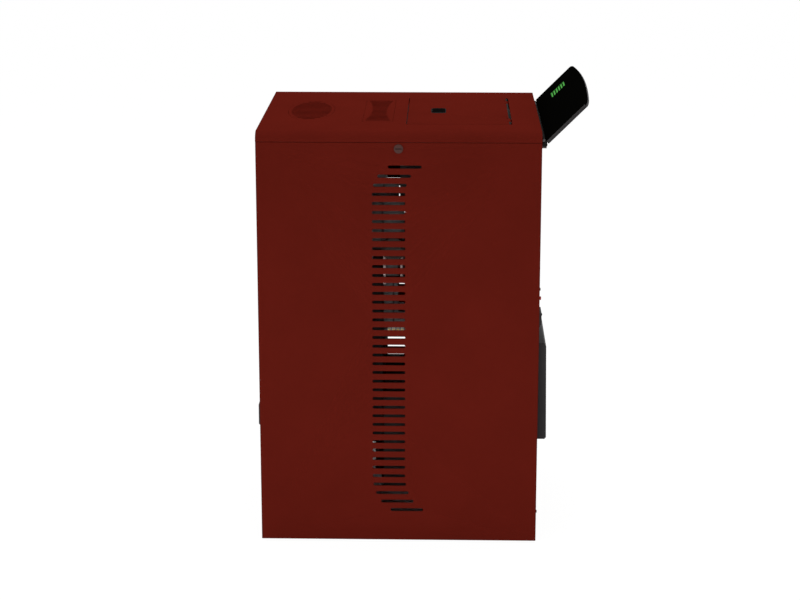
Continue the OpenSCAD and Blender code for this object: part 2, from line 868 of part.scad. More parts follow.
module display_hinge() color(dark_grey) casing() {
    ear = [display_ear_x, display_ear_x + display_ear_w];
    low = hinge_z - 11;
    both_sides() {
        rod_x(display_pin_r, [display_ear_x - ear_gap - display_knuckle + 2, ear[1]], hinge_y, hinge_z);
        rod_x(display_knuckle_r, ear, hinge_y, hinge_z);
        block(ear, [body_d + seat, hinge_y], [low, hinge_z + display_knuckle_r]);
        block(ear, [hinge_y - 2, hinge_y + display_knuckle_r], [low, hinge_z]);
        // Foot along the rear face
        block([ear[0] - 16, ear[1]], [body_d + seat, body_d + seat + sheet], [low, low + 5]);
    }
}

// Front panels
module upper_front_panel() color(red) casing() {
    low = upper_rail + 1;
    high = shoulder - seam;
    block([-panel_half, panel_half], [0, sheet], [low, high]);
    both_sides() block([panel_half - sheet, panel_half], [0, 18], [upper_rail + rail_h + seat, high]);
    block([-panel_half, panel_half], [0, 18], [high - sheet, high]);
    // Hanging tabs that reach behind the front frame
    both_sides() block([panel_half - sheet, frame_half - seat], [12, 18], [high - 60, high]);
}

module plinth_panel() color(red) casing() {
    block([-panel_half, panel_half], [0, sheet], [seam, drawer_bottom - seam]);
    block([-panel_half, panel_half], [0, 14], [drawer_bottom - seam - sheet, drawer_bottom - seam]);
}

// Fire door
module gasket_shape(inset) {
    out = (ring_w + gasket_w) / 2 - inset;
    flat_ring([-ring_in - out, ring_in + out], [ring_z[0] - out, ring_z[1] + out],
        gasket_w - 2 * inset, 8 - inset);
}

module door_frame() color(black) casing() {
    difference() {
        union() {
            difference() {
                block([-panel_half, panel_half], [0, door_t], [door_bottom, door_top]);
                block([-panel_half + door_rim, panel_half - door_rim], [door_plate, door_t + 1],
                    [door_bottom + door_rim, door_top - door_rim]);
            }
            // Ring that holds the gasket
            along_y([door_plate - 1, door_t]) flat_ring([-ring_in - ring_w, ring_in + ring_w],
                [ring_z[0] - ring_w, ring_z[1] + ring_w], ring_w, 6);
            for (h = [door_bottom, door_top - hinge_boss_h])
                rod_z(hinge_boss_r, hinge_axis[0], hinge_axis[1], [h, h + hinge_boss_h]);
            // Tongue that enters the spring catch
            block([panel_half - door_rim, panel_half], [door_t - 1, door_t + 8],
                [catch_h - catch_half, catch_h + catch_half]);
        }
        along_y([-1, door_plate + 1])
            rounded_rect([-window_half, window_half], [window_bottom, window_top], window_r);
        // Groove for the gasket
        along_y([gasket_front, door_t + 1]) gasket_shape(0);
        rod_z(hinge_pin_r + pin_clear, hinge_axis[0], hinge_axis[1],
            [door_bottom - 1, door_bottom + hinge_boss_h - 4]);
        rod_z(hinge_pin_r + pin_clear, hinge_axis[0], hinge_axis[1],
            [door_top - hinge_boss_h + 4, door_top + 1]);
        // Hole for the grip's cup
        block([cup_x0 - seat, cup_x1 + seat], [-1, door_plate + 1],
            [grip_bottom - seat, grip_bottom + grip_h + seat]);
    }
}

module door_glass() color([0.1, 0.1, 0.1]) casing()
    along_y([door_plate + seat, door_plate + seat + door_glass_t])
        rounded_rect([-window_half - glass_lap, window_half + glass_lap],
            [window_bottom - glass_lap, window_top + glass_lap], window_r);

module glass_retainer() color(zinc) casing()
    along_y([door_plate + door_glass_t + 2 * seat, door_plate + door_glass_t + 2 * seat + 3])
        flat_ring([-ring_in + 0.5, ring_in - 0.5], [ring_z[0] + 0.5, ring_z[1] - 0.5], 16, 5);

module door_gasket() color([0.35, 0.34, 0.32]) casing()
    along_y([gasket_front + seat, gasket_back]) gasket_shape(seat);

module door_hinge_pins() color(steel) casing() {
    rod_z(hinge_pin_r, hinge_axis[0], hinge_axis[1], [lower_rail, door_bottom + hinge_boss_h - 6]);
    rod_z(hinge_pin_r, hinge_axis[0], hinge_axis[1], [door_top - hinge_boss_h + 6, upper_rail + rail_h]);
}

module door_handle() color(black) casing() {
    z = [grip_bottom, grip_bottom + grip_h];
    face = -grip_proud;
    nose = 3;
    difference() {
        union() {
            block([cup_x0, cup_x1], [0, cup_back], z);
            // Lip that the fingers pull on
            translate([0, 0, z[0]]) linear_extrude(grip_h) polygon([
                [cup_x0 + grip_mouth, face + nose], [cup_x0 + grip_mouth + nose, face],
                [cup_x1 + grip_side - nose, face], [cup_x1 + grip_side, face + nose],
                [cup_x1 + grip_side, -0.1], [cup_x1, -0.1], [cup_x1, 1], [cup_x1 - grip_wall, 1],
                [cup_x1 - grip_wall, face + grip_lip], [cup_x0 + grip_mouth, face + grip_lip]]);
        }
        block([cup_x0 + grip_wall, cup_x1 - grip_wall], [face + grip_lip, cup_back - grip_wall],
            [z[0] + grip_wall, z[1] - grip_wall]);
        // Chamfers at the lip's upper and lower ends
        along_x([cup_x0 - 1, cup_x1 + grip_side + 1]) {
            polygon([[face - 1, z[0] - 1], [face + nose, z[0] - 1], [face - 1, z[0] + nose]]);
            polygon([[face - 1, z[1] + 1], [face + nose, z[1] + 1], [face - 1, z[1] - nose]]);
        }
    }
}

module door_catch() color(zinc) casing() {
    x = [panel_half - door_rim - 1, frame_half - seat];
    difference() {
        block(x, [door_t + 0.8, frame_y1 - 1], [catch_h - 22, catch_h + 22]);
        block([x[0] - 1, x[1] - 3], [door_t - 1, frame_y1],
            [catch_h - catch_half - 4, catch_h + catch_half + 4]);
    }
    // Sprung rollers above and below the tongue
    for (side = [-1, 1])
        rod_x(3, [x[0], x[1] - 2], door_t + 4.5, catch_h + side * (catch_half + 3.8));
}

// Ash drawer
module drawer_front() color(red) casing() difference() {
    union() {
        block([-panel_half, panel_half], [0, sheet], [drawer_bottom, drawer_top]);
        block([-panel_half, panel_half], [0, 14], [drawer_bottom, drawer_bottom + sheet]);
        both_sides() block([panel_half - sheet, panel_half], [0, 14], [drawer_bottom, lower_rail - seat - 1]);
        // Finger pull: a pressed pocket behind the opening
        block([-pull_half - sheet, pull_half + sheet], [0, 17], [pull_h[0] - sheet, pull_h[1] + sheet]);
    }
    along_y([-1, sheet + 1]) rounded_rect([-pull_half, pull_half], pull_h, 8);
    block([-pull_half, pull_half], [sheet, 17 - sheet], pull_h);
}

module ash_pan() color(steel) casing() difference() {
    union() {
        block([-pan_half, pan_half], [pan_front, pan_front + pan_d], [pan_floor, pan_top]);
        // Tabs that bolt to the drawer's front
        both_sides() block([pan_half - pan_tab, pan_half], [sheet + 0.1, pan_front + 1],
            [pan_floor, pan_floor + 2 * pan_tab]);
    }
    block([-pan_half + pan_wall, pan_half - pan_wall], [pan_front + pan_wall, pan_front + pan_d - pan_wall],
        [pan_floor + pan_wall, pan_top + 1]);
    both_sides() block([pan_half - pan_tab - 1, pan_half - pan_wall], [sheet + pan_wall, pan_front - 0.1],
        [pan_floor - 1, pan_floor + 2 * pan_tab + 1]);
}

module drawer_runners() color(zinc) casing() {
    y = [frame_y1 + 4, box_back - 4];
    both_sides() {
        block([pan_half + 1, pan_half + 1 + runner_t], y, [sheet + seat, pan_floor + 24]);
        block([pan_half - 16, pan_half + 2], y, [pan_floor - seat - runner_t, pan_floor - seat]);
        block([pan_half + 1, pan_half + 18], y, [sheet + seat, sheet + seat + runner_t]);
    }
}

// Fire chamber, with its plates set apart by the width of a weld seam
module port_flange(x, port, top) difference() {
    block(x, [box_back - plate, box_back], [fb_floor, flange_top]);
    block(port, [box_back - plate - 1, box_back + 1], [port_h[0], top]);
}

module firebox() color(iron) casing() {
    wide = box_half - plate - weld;
    y = [fb_front + plate + weld, box_back - plate - weld];
    difference() {
        block([-inner_half + sheet + 2, inner_half - sheet - 2], [fb_front, fb_front + plate],
            [fb_floor, upper_rail + rail_h]);
        block([-mouth_half, mouth_half], [0, fb_front + plate + 1], [mouth_bottom, mouth_top]);
    }
    both_sides() block([box_half - plate, box_half], [y[0], box_back], [fb_floor, box_top]);
    block([-wide, wide], [y[0], box_back], [box_top - plate, box_top]);
    difference() {
        block([-wide, wide], y, [fb_floor, fb_floor + plate]);
        block([-pot_half, pot_half], [pot_y, pot_y + pot_d], [fb_floor - 1, fb_floor + plate + 1]);
    }
    difference() {
        block([-wide, wide], [box_back - plate, box_back], [fb_floor, box_top - plate - weld]);
        block([flange_x[0] - weld, flange_x[1] + weld], [box_back - plate - 1, box_back + 1],
            [fb_floor - 1, flange_top + weld]);
        chute_rod(chute_r + 0.2, 0);
    }
    port_flange([flange_x[0], port_split - weld / 2], smoke_port, smoke_port_top);
    port_flange([port_split + weld / 2, flange_x[1]], air_port, port_h[1]);
    for (k = [-4:4])
        translate([k * fin_pitch, 0, box_top])
            block([-fin_t / 2, fin_t / 2], [fb_front + 32, box_back - 22], [weld, fin_h]);
}

module firebox_liners() color([0.5, 0.44, 0.36]) casing() {
    // Side plates and a ribbed back plate
    both_sides() block([box_half - plate - liner_t, box_half - plate - seat],
        [liner_front, box_back - plate - seat], [fb_floor + plate + seat, liner_top]);
    difference() {
        block([-box_half + plate + liner_t + seat, box_half - plate - liner_t - seat],
            [box_back - plate - liner_t, box_back - plate - seat], [smoke_port_top + 8, fireback_top]);
        for (k = [-6:6])
            translate([k * liner_rib, box_back - plate - liner_t, 0])
                block([-liner_rib / 4, liner_rib / 4], [-1, 4], [smoke_port_top + 24, fireback_top - 16]);
    }
}

module baffle() color(iron) casing() difference() {
    block([-box_half + plate + seat, box_half - plate - seat], baffle_y,
        [liner_top + seat, liner_top + baffle_t]);
    both_sides() block(baffle_slot_x, baffle_slot_y, [liner_top, liner_top + baffle_t + 1]);
}

module brazier() color(iron) casing() {
    y = [pot_y, pot_y + pot_d];
    hole_r = 3;
    hole_pitch = 16;
    difference() {
        union() {
            block([-pot_half + 1, pot_half - 1], [y[0] + 1, y[1] - 1], [pot_bottom, pot_bottom + pot_h]);
            block([-pot_half - rim_w + 2, pot_half + rim_w - 2], [y[0] - rim_w + 2, y[1] + rim_w - 2],
                [support_top + seat, support_top + seat + rim_t]);
        }
        block([-pot_half + pot_wall + 1, pot_half - pot_wall - 1], [y[0] + pot_wall + 1, y[1] - pot_wall - 1],
            [pot_bottom + pot_wall, pot_bottom + pot_h + 1]);
        for (i = [-2:2])
            for (j = [-2:2])
                rod_z(hole_r, i * hole_pitch, pot_y + pot_d / 2 + j * hole_pitch,
                    [pot_bottom - 1, pot_bottom + pot_wall + 1]);
        for (i = [-2:2])
            rod_y(hole_r, i * hole_pitch, [y[0] - 1, y[1] + 1], pot_bottom + pot_h - 30);
    }
}

module brazier_support() color(iron) casing() {
    wall = 3;
    low = fb_floor + plate + seat;
    difference() {
        block([-support_half, support_half], [support_y, box_back - plate - seat], [low, support_top]);
        block([-support_half + wall, support_half - wall], [support_y + wall, box_back],
            [low - 1, support_top - wall]);
        block([-pot_half, pot_half], [pot_y, pot_y + pot_d], [support_top - wall - 1, support_top + 1]);
    }
}

// Warm air way
module exchanger_hood() color(zinc) casing() {
    t = duct_sheet;
    difference() {
        channel([[hood_front, box_top + seat], [box_back, box_top + seat], [box_back, hood_shoulder],
            [hood_neck, hood_shoulder], [hood_neck, hood_top], [hood_front, hood_top]],
            [[hood_front + t, box_top - 1], [box_back - t, box_top - 1], [box_back - t, hood_shoulder - t],
            [hood_neck - t, hood_shoulder - t], [hood_neck - t, hood_top + 1], [hood_front + t, hood_top + 1]],
            [-hood_half, hood_half], t);
        block([duct_x[0] + t, duct_x[1] - t], [box_back - t - 1, box_back + 1], duct_port);
    }
}

module hot_air_duct() color(zinc) casing() {
    t = duct_sheet;
    back = fan_back - 4;
    difference() {
        channel([[duct_front, duct_low], [back, duct_low], [back, duct_turn], [duct_mid, duct_turn],
            [duct_mid, duct_top], [duct_front, duct_top]],
            [[duct_front + t, duct_low + t], [back - t, duct_low + t], [back - t, duct_turn - t],
            [duct_mid - t, duct_turn - t], [duct_mid - t, duct_top - t], [duct_front + t, duct_top - t]],
            duct_x, t);
        block([duct_x[0] + t, duct_x[1] - t], [duct_front - 1, duct_front + t + 1], duct_port);
        block([duct_x[0] + t, duct_x[1] - t], [fan_front + t, back - t], [duct_low - 1, duct_low + t + 1]);
    }
}

module scroll_outline(t) {
    translate([room_fan_x, room_fan_h]) circle(room_scroll_r - t);
    square_between([duct_x[0] + t, duct_x[1] - t], [room_fan_h, duct_low - seat + (t > 0 ? 1 : 0)]);
}

module room_fan_housing() color(zinc) casing() {
    t = duct_sheet;
    difference() {
        along_y([fan_front, fan_back]) scroll_outline(0);
        along_y([fan_front + t, fan_back - t]) scroll_outline(t);
        rod_y(fan_eye_r, room_fan_x, [fan_back - t - 1, fan_back + 1], room_fan_h);
        rod_y(motor_shaft_r + 2, room_fan_x, [fan_front - 1, fan_front + t + 1], room_fan_h);
    }
}

module room_fan_wheel() color(steel) casing() {
    y = [fan_front + wheel_gap, fan_back - wheel_gap];
    translate([room_fan_x, y[1], room_fan_h]) rotate([90, 0, 0]) {
        depth = y[1] - y[0];
        blade = 22;
        root_r = room_wheel_r - blade - 1;
        for (z = [0, depth - ring_t])
            translate([0, 0, z]) difference() {
                cylinder(r = room_wheel_r, h = ring_t);
                translate([0, 0, -1]) cylinder(r = z > 0 ? motor_shaft_r : root_r - 3, h = ring_t + 2);
            }
        for (k = [0:room_blades - 1])
            rotate(k * 360 / room_blades) translate([root_r, 0, ring_t - 0.5])
                rotate(24) cube([blade, 1.5, depth - 2 * ring_t + 1]);
        translate([0, 0, depth - 16]) difference() {
            cylinder(r = 12, h = 16);
            translate([0, 0, -1]) cylinder(r = motor_shaft_r, h = 18);
        }
        translate([0, 0, depth - 16]) cylinder(r = motor_shaft_r, h = 16 + wheel_gap + 40);
    }
}

module room_fan_motor() color(dark_grey) casing() difference() {
    union() {
        rod_y(room_motor_r, room_fan_x, [room_motor_front, fan_front - seat], room_fan_h);
        rod_y(room_motor_r - 14, room_fan_x, [room_motor_front - 6, room_motor_front + 1], room_fan_h);
        rod_y(room_motor_r + 6, room_fan_x, [fan_front - seat - 3, fan_front - seat], room_fan_h);
    }
    rod_y(motor_shaft_r + pin_clear, room_fan_x, [fan_front - 42, fan_front + 1], room_fan_h);
}

// Smoke way
module smoke_collector() color(iron) casing() {
    t = smoke_sheet;
    y = collector_y;
    h = collector_h;
    difference() {
        channel([[y[0], h[0]], [y[2], h[0]], [y[2], h[1]], [y[1], h[1]], [y[1], h[2]], [y[0], h[2]]],
            [[y[0] + t, h[0] + t], [y[2] - t, h[0] + t], [y[2] - t, h[1] - t], [y[1] - t, h[1] - t],
            [y[1] - t, h[2] - t], [y[0] + t, h[2] - t]], collector_x, t);
        block(smoke_port, [y[0] - 1, y[0] + t + 1], [port_h[0], smoke_port_top]);
        rod_x(smoke_eye_r, [collector_x[0] - 1, collector_x[0] + t + 1], smoke_fan_y, smoke_fan_h);
    }
}

module smoke_outline(t) {
    translate([smoke_fan_y, smoke_fan_h]) circle(smoke_scroll_r - t);
    square_between([smoke_fan_y, smoke_out_y - t], [smoke_fan_h - smoke_scroll_r + t, smoke_fan_h - t]);
}

module smoke_fan_housing() color(iron) casing() {
    t = smoke_sheet;
    difference() {
        along_x(smoke_x) smoke_outline(0);
        along_x([smoke_x[0] + t, smoke_x[1] - t]) smoke_outline(t);
        rod_x(smoke_eye_r, [smoke_x[1] - t - 1, smoke_x[1] + 1], smoke_fan_y, smoke_fan_h);
        rod_x(motor_shaft_r + 2, [smoke_x[0] - 1, smoke_x[0] + t + 1], smoke_fan_y, smoke_fan_h);
        rod_y(flue_r - 5, flue_x, [smoke_out_y - t - 1, smoke_out_y + 1], flue_h);
    }
}

module smoke_fan_wheel() color(steel) casing() {
    x = [smoke_x[0] + smoke_sheet + 6, smoke_x[1] - smoke_sheet - 6];
    translate([x[0], smoke_fan_y, smoke_fan_h]) rotate([0, 90, 0]) {
        depth = x[1] - x[0];
        cylinder(r = smoke_wheel_r, h = 3);
        cylinder(r = 14, h = depth * 0.7);
        for (k = [0:smoke_blades - 1])
            rotate(k * 360 / smoke_blades) translate([12, -1, 2]) cube([smoke_wheel_r - 13, 2, depth - 2]);
        // Shaft that runs into the motor
        translate([0, 0, -6 - smoke_sheet - 38]) cylinder(r = motor_shaft_r, h = 60);
    }
}

module smoke_fan_motor() color(dark_grey) casing() {
    face = smoke_x[0] - seat;
    difference() {
        union() {
            rod_x(smoke_motor_r, [face - smoke_motor_len, face - 12], smoke_fan_y, smoke_fan_h);
            for (k = [0:3])
                translate([0, smoke_fan_y, smoke_fan_h]) rotate([45 + 90 * k, 0, 0])
                    rod_x(4, [face - 13, face], smoke_motor_r - 6, 0);
            rod_x(smoke_motor_r - 22, [face - 20, face], smoke_fan_y, smoke_fan_h);
        }
        rod_x(motor_shaft_r + pin_clear, [face - 42, face + 1], smoke_fan_y, smoke_fan_h);
    }
}

module flue_socket() color(steel) casing() difference() {
    union() {
        rod_y(flue_r + flue_wall, flue_x, [smoke_out_y + seat, rear_face], flue_h);
        rod_y(flue_r + flue_wall + 9, flue_x, [rear_face - 2 * sheet - seat, rear_face - sheet - seat], flue_h);
    }
    rod_y(flue_r, flue_x, [smoke_out_y + 3, rear_face + 1], flue_h);
    rod_y(flue_r - 5, flue_x, [smoke_out_y - 1, rear_face], flue_h);
}

module air_intake() color(steel) casing() {
    t = 2;
    pipe_y = air_box_back + seat;
    difference() {
        block(air_box_x, [box_back + seat, air_box_back], air_box_h);
        block([air_box_x[0] + t, air_box_x[1] - t], [box_back + seat + t, air_box_back - t],
            [air_box_h[0] + t, air_box_h[1] - t]);
        rod_y(intake_r + t, intake_x, [air_box_back - t - 1, air_box_back + 1], intake_h);
        block(air_port, [box_back, box_back + t + 1], port_h);
        rod_y(igniter_r + 0.2, 0, [air_box_back - t - 1, air_box_back + 1], igniter_h);
    }
    // Pipe with a flange on the box and one that the rear panel holds
    difference() {
        union() {
            rod_y(intake_r + t, intake_x, [pipe_y, rear_face], intake_h);
            for (y = [pipe_y, rear_face - 2 * sheet - seat])
                rod_y(intake_r + t + 8, intake_x, [y, y + sheet], intake_h);
        }
        rod_y(intake_r, intake_x, [pipe_y - 1, rear_face + 1], intake_h);
    }
}

module igniter() color([0.75, 0.73, 0.68]) casing() {
    rod_y(igniter_r, 0, [pot_y + pot_d + 4, air_box_back + igniter_back], igniter_h);
    rod_y(igniter_r + 6, 0, [air_box_back + seat, air_box_back + 5], igniter_h);
    rod_y(2, 0, [air_box_back + igniter_back - 2, air_box_back + igniter_back + 14], igniter_h);
}

// Pellet feed, drawn with the auger's axis as Z
function auger_point(s) = [auger_y - s * cos(auger_tilt), auger_h + s * sin(auger_tilt)];

module sloping() translate([0, auger_y, auger_h]) rotate([90 - auger_tilt, 0, 0]) children();

module chute_rod(r, extra) translate([0, auger_point(chute_start)[0], auger_point(chute_start)[1]])
    rotate([135, 0, 0]) cylinder(r = r, h = chute_len + extra);

module auger_tube() color(steel) casing() {
    throat_low = 532;
    difference() {
        union() {
            sloping() cylinder(r = auger_tube_r, h = auger_len);
            sloping() translate([0, 0, -4]) cylinder(r = auger_tube_r + 9, h = 4.01);
            block([-hopper_outlet / 2, hopper_outlet / 2], [outlet_y, outlet_y + hopper_outlet],
                [throat_low, hopper_outlet_h - 1 - seat]);
            chute_rod(chute_r, 0);
        }
        sloping() cylinder(r = auger_tube_r - tube_wall, h = auger_len - cap_t);
        sloping() translate([0, 0, -5]) cylinder(r = auger_shaft_r + 1, h = 10);
        sloping() translate([0, 0, auger_len - cap_t - 1]) cylinder(r = bush_r, h = cap_t + 2);
        block([-hopper_outlet / 2 + tube_wall, hopper_outlet / 2 - tube_wall],
            [outlet_y + tube_wall, outlet_y + hopper_outlet - tube_wall],
            [throat_low + 14, hopper_outlet_h]);
        intersection() {
            block([-auger_tube_r + tube_wall + 1, auger_tube_r - tube_wall - 1],
                [outlet_y + tube_wall, outlet_y + hopper_outlet - 12], [auger_h, hopper_outlet_h]);
            sloping() cylinder(r = 2 * auger_tube_r, h = auger_len);
        }
        chute_rod(chute_r - chute_wall, 1);
    }
}

module auger_bush() color(brass) casing() sloping() difference() {
    union() {
        translate([0, 0, auger_len - cap_t]) cylinder(r = bush_r, h = cap_t);
        translate([0, 0, auger_len + seat]) cylinder(r = bush_flange_r, h = 3);
        translate([0, 0, auger_len - 1]) cylinder(r = bush_r, h = 2);
    }
    translate([0, 0, auger_len - cap_t - 1]) cylinder(r = auger_shaft_r + pin_clear, h = cap_t + 6);
}

// The flight is one helical ribbon, given by its inner and outer edges at every step
module flight() {
    turns = (flight_to - flight_from) / flight_pitch;
    n = ceil(turns * flight_steps);
    inner_r = auger_shaft_r - 1;
    function edge(r, a, z) = [r * cos(a), r * sin(a), z];
    points = [for (k = [0:n])
        let (a = k * 360 / flight_steps, z = flight_from + k * flight_pitch / flight_steps, top = z + flight_t)
        each [edge(inner_r, a, z), edge(flight_r, a, z), edge(flight_r, a, top), edge(inner_r, a, top)]];
    faces = concat([[3, 2, 1, 0]], [[4 * n, 4 * n + 1, 4 * n + 2, 4 * n + 3]],
        [for (k = [0:n - 1]) for (j = [0:3]) let (a = 4 * k + j, b = 4 * k + (j + 1) % 4)
            each [[a, b, b + 4], [a, b + 4, a + 4]]]);
    polyhedron(points = points, faces = faces, convexity = 8);
}

module auger_screw() color(iron) casing() sloping() {
    translate([0, 0, -30]) cylinder(r = auger_shaft_r, h = auger_len + 29);
    flight();
}

module gearmotor() color(dark_grey) casing() sloping() {
    face = -4 - seat;
    half = gearbox_w / 2;
    back = face - gearbox_len;
    difference() {
        union() {
            block([-half, half], [-half, half], [back, face]);
            rod_z(feed_motor_r, 0, 0, [back - feed_motor_len, back + 1]);
            rod_z(12, 0, 0, [back - feed_motor_len - 4, back]);
        }
        translate([0, 0, -34]) cylinder(r = auger_shaft_r + pin_clear, h = 40);
        for (x = [-1, 1])
            for (y = [-1, 1])
                rod_z(2.2, x * (half - 7), y * (half - 7), [back - 1, face + 1]);
    }
}

// Rear
module rear_panel() color(red) casing() difference() {
    block([-inner_half + 1, inner_half - 1], [rear_face - sheet, rear_face], [seam, frame_top]);
    rod_y(flue_r + flue_wall + seat, flue_x, [rear_face - sheet - 1, rear_face + 1], flue_h);
    rod_y(intake_r + 2 + seat, intake_x, [rear_face - sheet - 1, rear_face + 1], intake_h);
    rod_y(fan_eye_r, room_fan_x, [rear_face - sheet - 1, rear_face + 1], room_fan_h);
    block([inlet_x - inlet_w / 2 + 4, inlet_x + inlet_w / 2 - 4], [rear_face - sheet - 1, rear_face + 1],
        [inlet_bottom + 3, inlet_bottom + inlet_h - 3]);
    rod_y(reset_ring_r - 1.5, reset_x, [rear_face - sheet - 1, rear_face + 1], reset_h);
}

module cover_profile(t) {
    base = rear_face + (t > 0 ? -1 : seat);
    top = cover_bottom + cover_h - t;
    low = cover_bottom + t;
    polygon([[base, low], [body_d + cover_proud - t - cover_foot_r, low],
        [body_d + cover_proud - t, low + cover_foot_r], [body_d + cover_top_proud - t, top - cover_chamfer],
        [body_d + cover_top_proud - t - cover_chamfer / 2, top], [base, top]]);
}

module rear_fan_cover() color(dark_grey) casing() {
    x = [room_fan_x - cover_w / 2, room_fan_x + cover_w / 2];
    step = (cover_h - 40) / cover_slots;
    difference() {
        along_x(x) cover_profile(0);
        along_x([x[0] + cover_wall, x[1] - cover_wall]) cover_profile(cover_wall);
        along_y([rear_face + 6, body_d + cover_proud + 1])
            for (k = [0:cover_slots - 1])
                translate([x[0] + 20, cover_bottom + 22 + step * (k + 0.25)])
                    slot_shape(cover_w - 40, step * 0.5);
    }
}

module mains_inlet() color(black) casing() {
    x0 = inlet_x - inlet_w / 2;
    out = rear_face + inlet_proud;
    middle = inlet_bottom + inlet_h / 2;
    socket_x = inlet_x - 12;
    difference() {
        union() {
            block([x0, x0 + inlet_w], [rear_face + 0.1, out - 3], [inlet_bottom, inlet_bottom + inlet_h]);
            block([x0 + 3, x0 + inlet_w - 3], [rear_face, out], [inlet_bottom + 3, inlet_bottom + inlet_h - 3]);
            block([x0 + 4.2, x0 + inlet_w - 4.2], [rear_face - inlet_body, rear_face + 1],
                [inlet_bottom + 3.2, inlet_bottom + inlet_h - 3.2]);
        }
        // Socket for the mains plug
        block([socket_x - socket_w / 2, socket_x + socket_w / 2], [rear_face - 10, out + 1],
            [middle - socket_h / 2, middle + socket_h / 2]);
        // Well for the rocker
        block([inlet_x + rocker_x - rocker_w / 2 - 0.6, inlet_x + rocker_x + rocker_w / 2 + 0.6],
            [out - 12, out + 1], [middle - rocker_h / 2 - 0.8, middle + rocker_h / 2 + 0.8]);
    }
    for (k = [-1, 0, 1])
        block([socket_x + k * 7 - 1, socket_x + k * 7 + 1], [rear_face - 11, out - 3],
            [middle - 3 + (k == 0 ? 2 : 0), middle + 3 + (k == 0 ? 2 : 0)]);
    // Pins that the rocker turns on
    both = inlet_x + rocker_x;
    for (side = [-1, 1])
        rod_x(rocker_pin_r, side > 0 ? [both + rocker_w / 2 - 1.5, both + rocker_w / 2 + 1] :
            [both - rocker_w / 2 - 1, both - rocker_w / 2 + 1.5], out - 3, middle);
}

module power_switch() color(black) casing() {
    out = rear_face + inlet_proud;
    middle = inlet_bottom + inlet_h / 2;
    x = [inlet_x + rocker_x - rocker_w / 2, inlet_x + rocker_x + rocker_w / 2];
    translate([0, out - 3, middle]) rotate([-rocker_tilt, 0, 0]) difference() {
        // Rocker: a lens between two arcs, hollowed along its face
        intersection() {
            block(x, [-5, 4], [-rocker_h / 2 + 0.6, rocker_h / 2 - 0.6]);
            rod_x(rocker_h / 2 - 0.3, x, 0, 0);
        }
        rod_x(30, [x[0] - 1, x[1] + 1], 31.8, 0);
        for (side = [-1, 1])
            rod_x(rocker_pin_r + pin_clear, side > 0 ? [x[1] - 2, x[1] + 1] : [x[0] - 1, x[0] + 2], 0, 0);
    }
}

module safety_thermostat() color(white) casing() difference() {
    union() {
        rod_y(13, reset_x, [rear_face - sheet - 18, rear_face - sheet - seat], reset_h);
        rod_y(reset_ring_r - 2, reset_x, [rear_face - sheet - 5, rear_face + 1], reset_h);
        rod_y(reset_ring_r, reset_x, [rear_face + 0.1, rear_face + reset_ring], reset_h);
    }
    rod_y(reset_r + 0.2, reset_x, [rear_face - sheet - 12, rear_face + reset_ring + 1], reset_h);
}

module reset_button() color([0.6, 0.1, 0.08]) casing() {
    rod_y(reset_r, reset_x, [rear_face - sheet - 6, rear_face + reset_proud], reset_h);
}

// Electrical parts
module control_board() color([0.12, 0.3, 0.16]) casing() {
    y = board_y;
    h = [board_low, board_low + board_tall];
    // Carrier plate, fixed to the rear post, with the board standing on four spacers
    block([board_x - 10, board_x - 8], y, h);
    block([-inner_half + sheet + seat, board_x - 8], [y[1] - 2, y[1]], h);
    block([board_x, board_x + 1.6], [y[0] + 6, y[1] - 10], [h[0] + 8, h[1] - 8]);
    for (spacer_y = [y[0] + 12, y[1] - 16])
        for (spacer_h = [h[0] + 14, h[1] - 14])
            rod_x(3, [board_x - 9, board_x + 1], spacer_y, spacer_h);
    // Relays, transformer and two capacitors
    for (low = [h[0] + 20:relay_pitch:h[1] - 2 * relay_pitch + 6])
        block([board_x + 1, board_x + 14], [y[0] + 16, y[0] + 28], [low, low + 20]);
    block([board_x + 1, board_x + 26], [y[0] + 60, y[0] + 100], [h[0] + 30, h[0] + 80]);
    for (k = [0, 1])
        rod_x(9, [board_x + 1, board_x + 30], y[0] + 58 + 26 * k, h[1] - 50);
}

module pressure_switch() color(zinc) casing() {
    tab = [hood_half + seat, switch_x + sheet];
    // Bracket from the exchanger hood
    block([switch_x, switch_x + sheet], bracket_y, [bracket_low, bracket_top]);
    for (h = [bracket_low, bracket_top - sheet])
        block(tab, arm_y, [h, h + sheet]);
    block([tab[0], tab[0] + sheet], [arm_y[0], arm_y[0] + 16], [bracket_low, bracket_top]);
    rod_x(switch_r, [switch_x + sheet - 0.5, switch_x + 22], switch_y, switch_h);
    rod_x(switch_r - 8, [switch_x + 21, switch_x + 28], switch_y, switch_h);
    // Silicone hoses and the terminal block that they pass
    for (k = [0, 1])
        rod_z(hose_r, switch_x + 14, hose_y[k], [hose_bottom[k], switch_h - 8]);
    block([switch_x + 8, switch_x + 20], [hose_y[0] - 6, hose_y[1] + 6], [hose_bottom[1] - 4, hose_bottom[1]]);
    block([switch_x + 12, switch_x + 16], [switch_y - 2, switch_y + 2], [block_h[1] - 1, hose_bottom[1] - 3]);
    block([switch_x + 6, switch_x + 22], [switch_y - 14, switch_y + 25], block_h);
}

